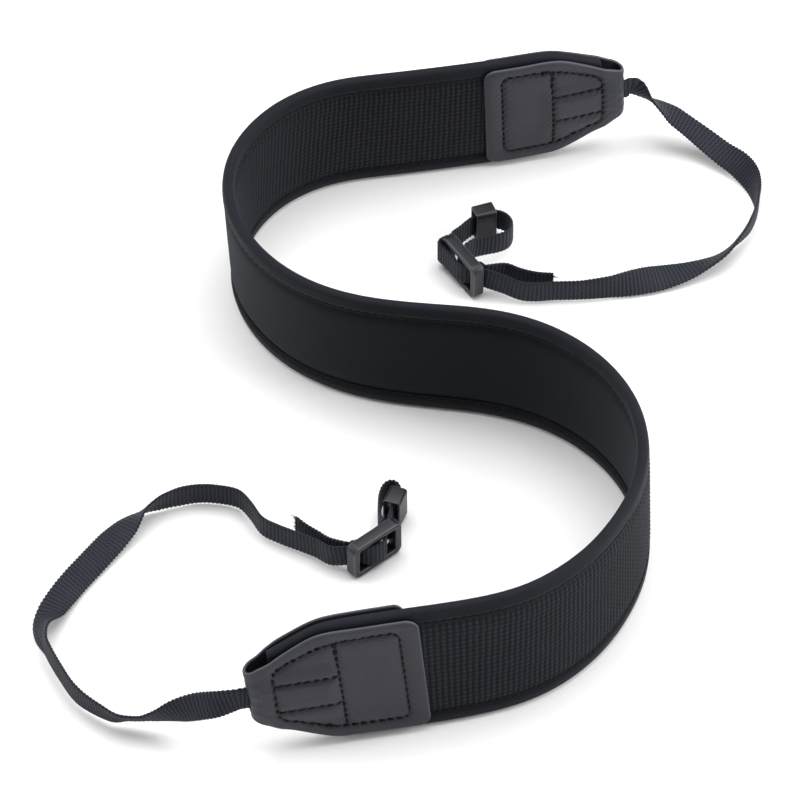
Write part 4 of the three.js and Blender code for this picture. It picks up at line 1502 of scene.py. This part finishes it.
class STRAP_OT_stage(bpy.types.Operator):
    """Camera, lights, room and paper floor"""

    bl_idname = "strap.stage"
    bl_label = "Stage"

    def execute(self, context):
        settings = context.scene.strap_stage
        aim = Vector(in_part(AIM))
        camera = bpy.data.objects.new("camera", bpy.data.cameras.new("camera"))
        camera.data.lens = settings.lens
        camera.data.sensor_width = SENSOR
        camera.data.clip_end = 20
        away = Vector((0, -math.cos(settings.elevation), math.sin(settings.elevation)))
        camera.location = aim + away * settings.distance
        camera.rotation_euler = (-away).to_track_quat("-Z", "Y").to_euler()
        context.scene.collection.objects.link(camera)
        context.scene.camera = camera
        context.scene.view_settings.view_transform = "Standard"
        world = bpy.data.worlds.new("room")
        world.use_nodes = True
        room = world.node_tree.nodes["Background"]
        room.inputs[0].default_value = WHITE
        room.inputs[1].default_value = settings.world
        context.scene.world = world
        area_light("soft_right", (1.1, -0.1, 0.55), (0.1, 0, 0), (0.8, 0.8), 13)
        area_light("soft_left", (-1.1, 0.1, 0.6), (-0.1, 0, 0), (0.8, 0.8), 7)
        area_light("soft_top", (0, 0.3, 1.5), (0, 0, 0), (1.8, 1.5), 30)
        floor()
        return {"FINISHED"}


class STRAP_OT_sliders(bpy.types.Operator):
    """The two tri-glide sliders"""

    bl_idname = "strap.sliders"
    bl_label = "Sliders"

    def execute(self, context):
        for end in ENDS:
            slider(end)
        return {"FINISHED"}


class STRAP_OT_keepers(bpy.types.Operator):
    """The two sleeves that close the loops"""

    bl_idname = "strap.keepers"
    bl_label = "Keepers"

    def execute(self, context):
        for end in ENDS:
            keeper(end)
        return {"FINISHED"}


class STRAP_OT_tapes(bpy.types.Operator):
    """The two ribbed tapes and their cut ends"""

    bl_idname = "strap.tapes"
    bl_label = "Tapes"

    def execute(self, context):
        for end in ENDS:
            tape(end)
        return {"FINISHED"}


class STRAP_OT_pad(bpy.types.Operator):
    """The foam body with its smooth face"""

    bl_idname = "strap.pad"
    bl_label = "Pad"

    def execute(self, context):
        pad_body()
        return {"FINISHED"}


class STRAP_OT_net(bpy.types.Operator):
    """The knotted panel on the grip side"""

    bl_idname = "strap.net"
    bl_label = "Grip mesh"

    def execute(self, context):
        mesh_panel()
        return {"FINISHED"}


class STRAP_OT_binding(bpy.types.Operator):
    """The folded tape over both edges"""

    bl_idname = "strap.binding"
    bl_label = "Binding"

    def execute(self, context):
        for edge in ("top", "bottom"):
            binding(edge)
        return {"FINISHED"}


class STRAP_OT_seams(bpy.types.Operator):
    """The stitches along the binding"""

    bl_idname = "strap.seams"
    bl_label = "Binding seams"

    def execute(self, context):
        binding_seams()
        return {"FINISHED"}


class STRAP_OT_tabs(bpy.types.Operator):
    """The folded leather over both ends"""

    bl_idname = "strap.tabs"
    bl_label = "Leather tabs"

    def execute(self, context):
        for end in ENDS:
            tab(end)
        return {"FINISHED"}


class STRAP_OT_tab_seams(bpy.types.Operator):
    """The stitches on the leather"""

    bl_idname = "strap.tab_seams"
    bl_label = "Tab stitches"

    def execute(self, context):
        for end in ENDS:
            tab_seams(end)
        return {"FINISHED"}


PIECES = (
    STRAP_OT_sliders,
    STRAP_OT_keepers,
    STRAP_OT_tapes,
    STRAP_OT_pad,
    STRAP_OT_net,
    STRAP_OT_binding,
    STRAP_OT_seams,
    STRAP_OT_tabs,
    STRAP_OT_tab_seams,
)


class STRAP_PT_panel(bpy.types.Panel):
    """Sizes, and a button for each group of pieces"""

    bl_idname = "STRAP_PT_panel"
    bl_label = "Neck strap"
    bl_space_type = "VIEW_3D"
    bl_region_type = "UI"
    bl_category = "Strap"

    def draw(self, context):
        layout = self.layout
        scene = context.scene
        for settings in (scene.strap_pad, scene.strap_finish, scene.strap_stage):
            for key in settings.__annotations__:
                layout.prop(settings, key)
        for made in (STRAP_OT_stage, *PIECES):
            layout.operator(made.bl_idname)


SETTINGS = {
    "strap_pad": StrapPadSettings,
    "strap_finish": StrapFinishSettings,
    "strap_stage": StrapStageSettings,
}
CLASSES = (*SETTINGS.values(), STRAP_OT_stage, *PIECES, STRAP_PT_panel)


def register():
    for made in CLASSES:
        bpy.utils.register_class(made)
    for name, made in SETTINGS.items():
        setattr(bpy.types.Scene, name, bpy.props.PointerProperty(type=made))


def unregister():
    for name in SETTINGS:
        delattr(bpy.types.Scene, name)
    for made in reversed(CLASSES):
        bpy.utils.unregister_class(made)


def main():
    """Make the stage and every piece."""
    register()
    bpy.ops.strap.stage()
    for made in PIECES:
        getattr(bpy.ops.strap, made.bl_idname.split(".")[1])()


if __name__ == "__main__":
    main()
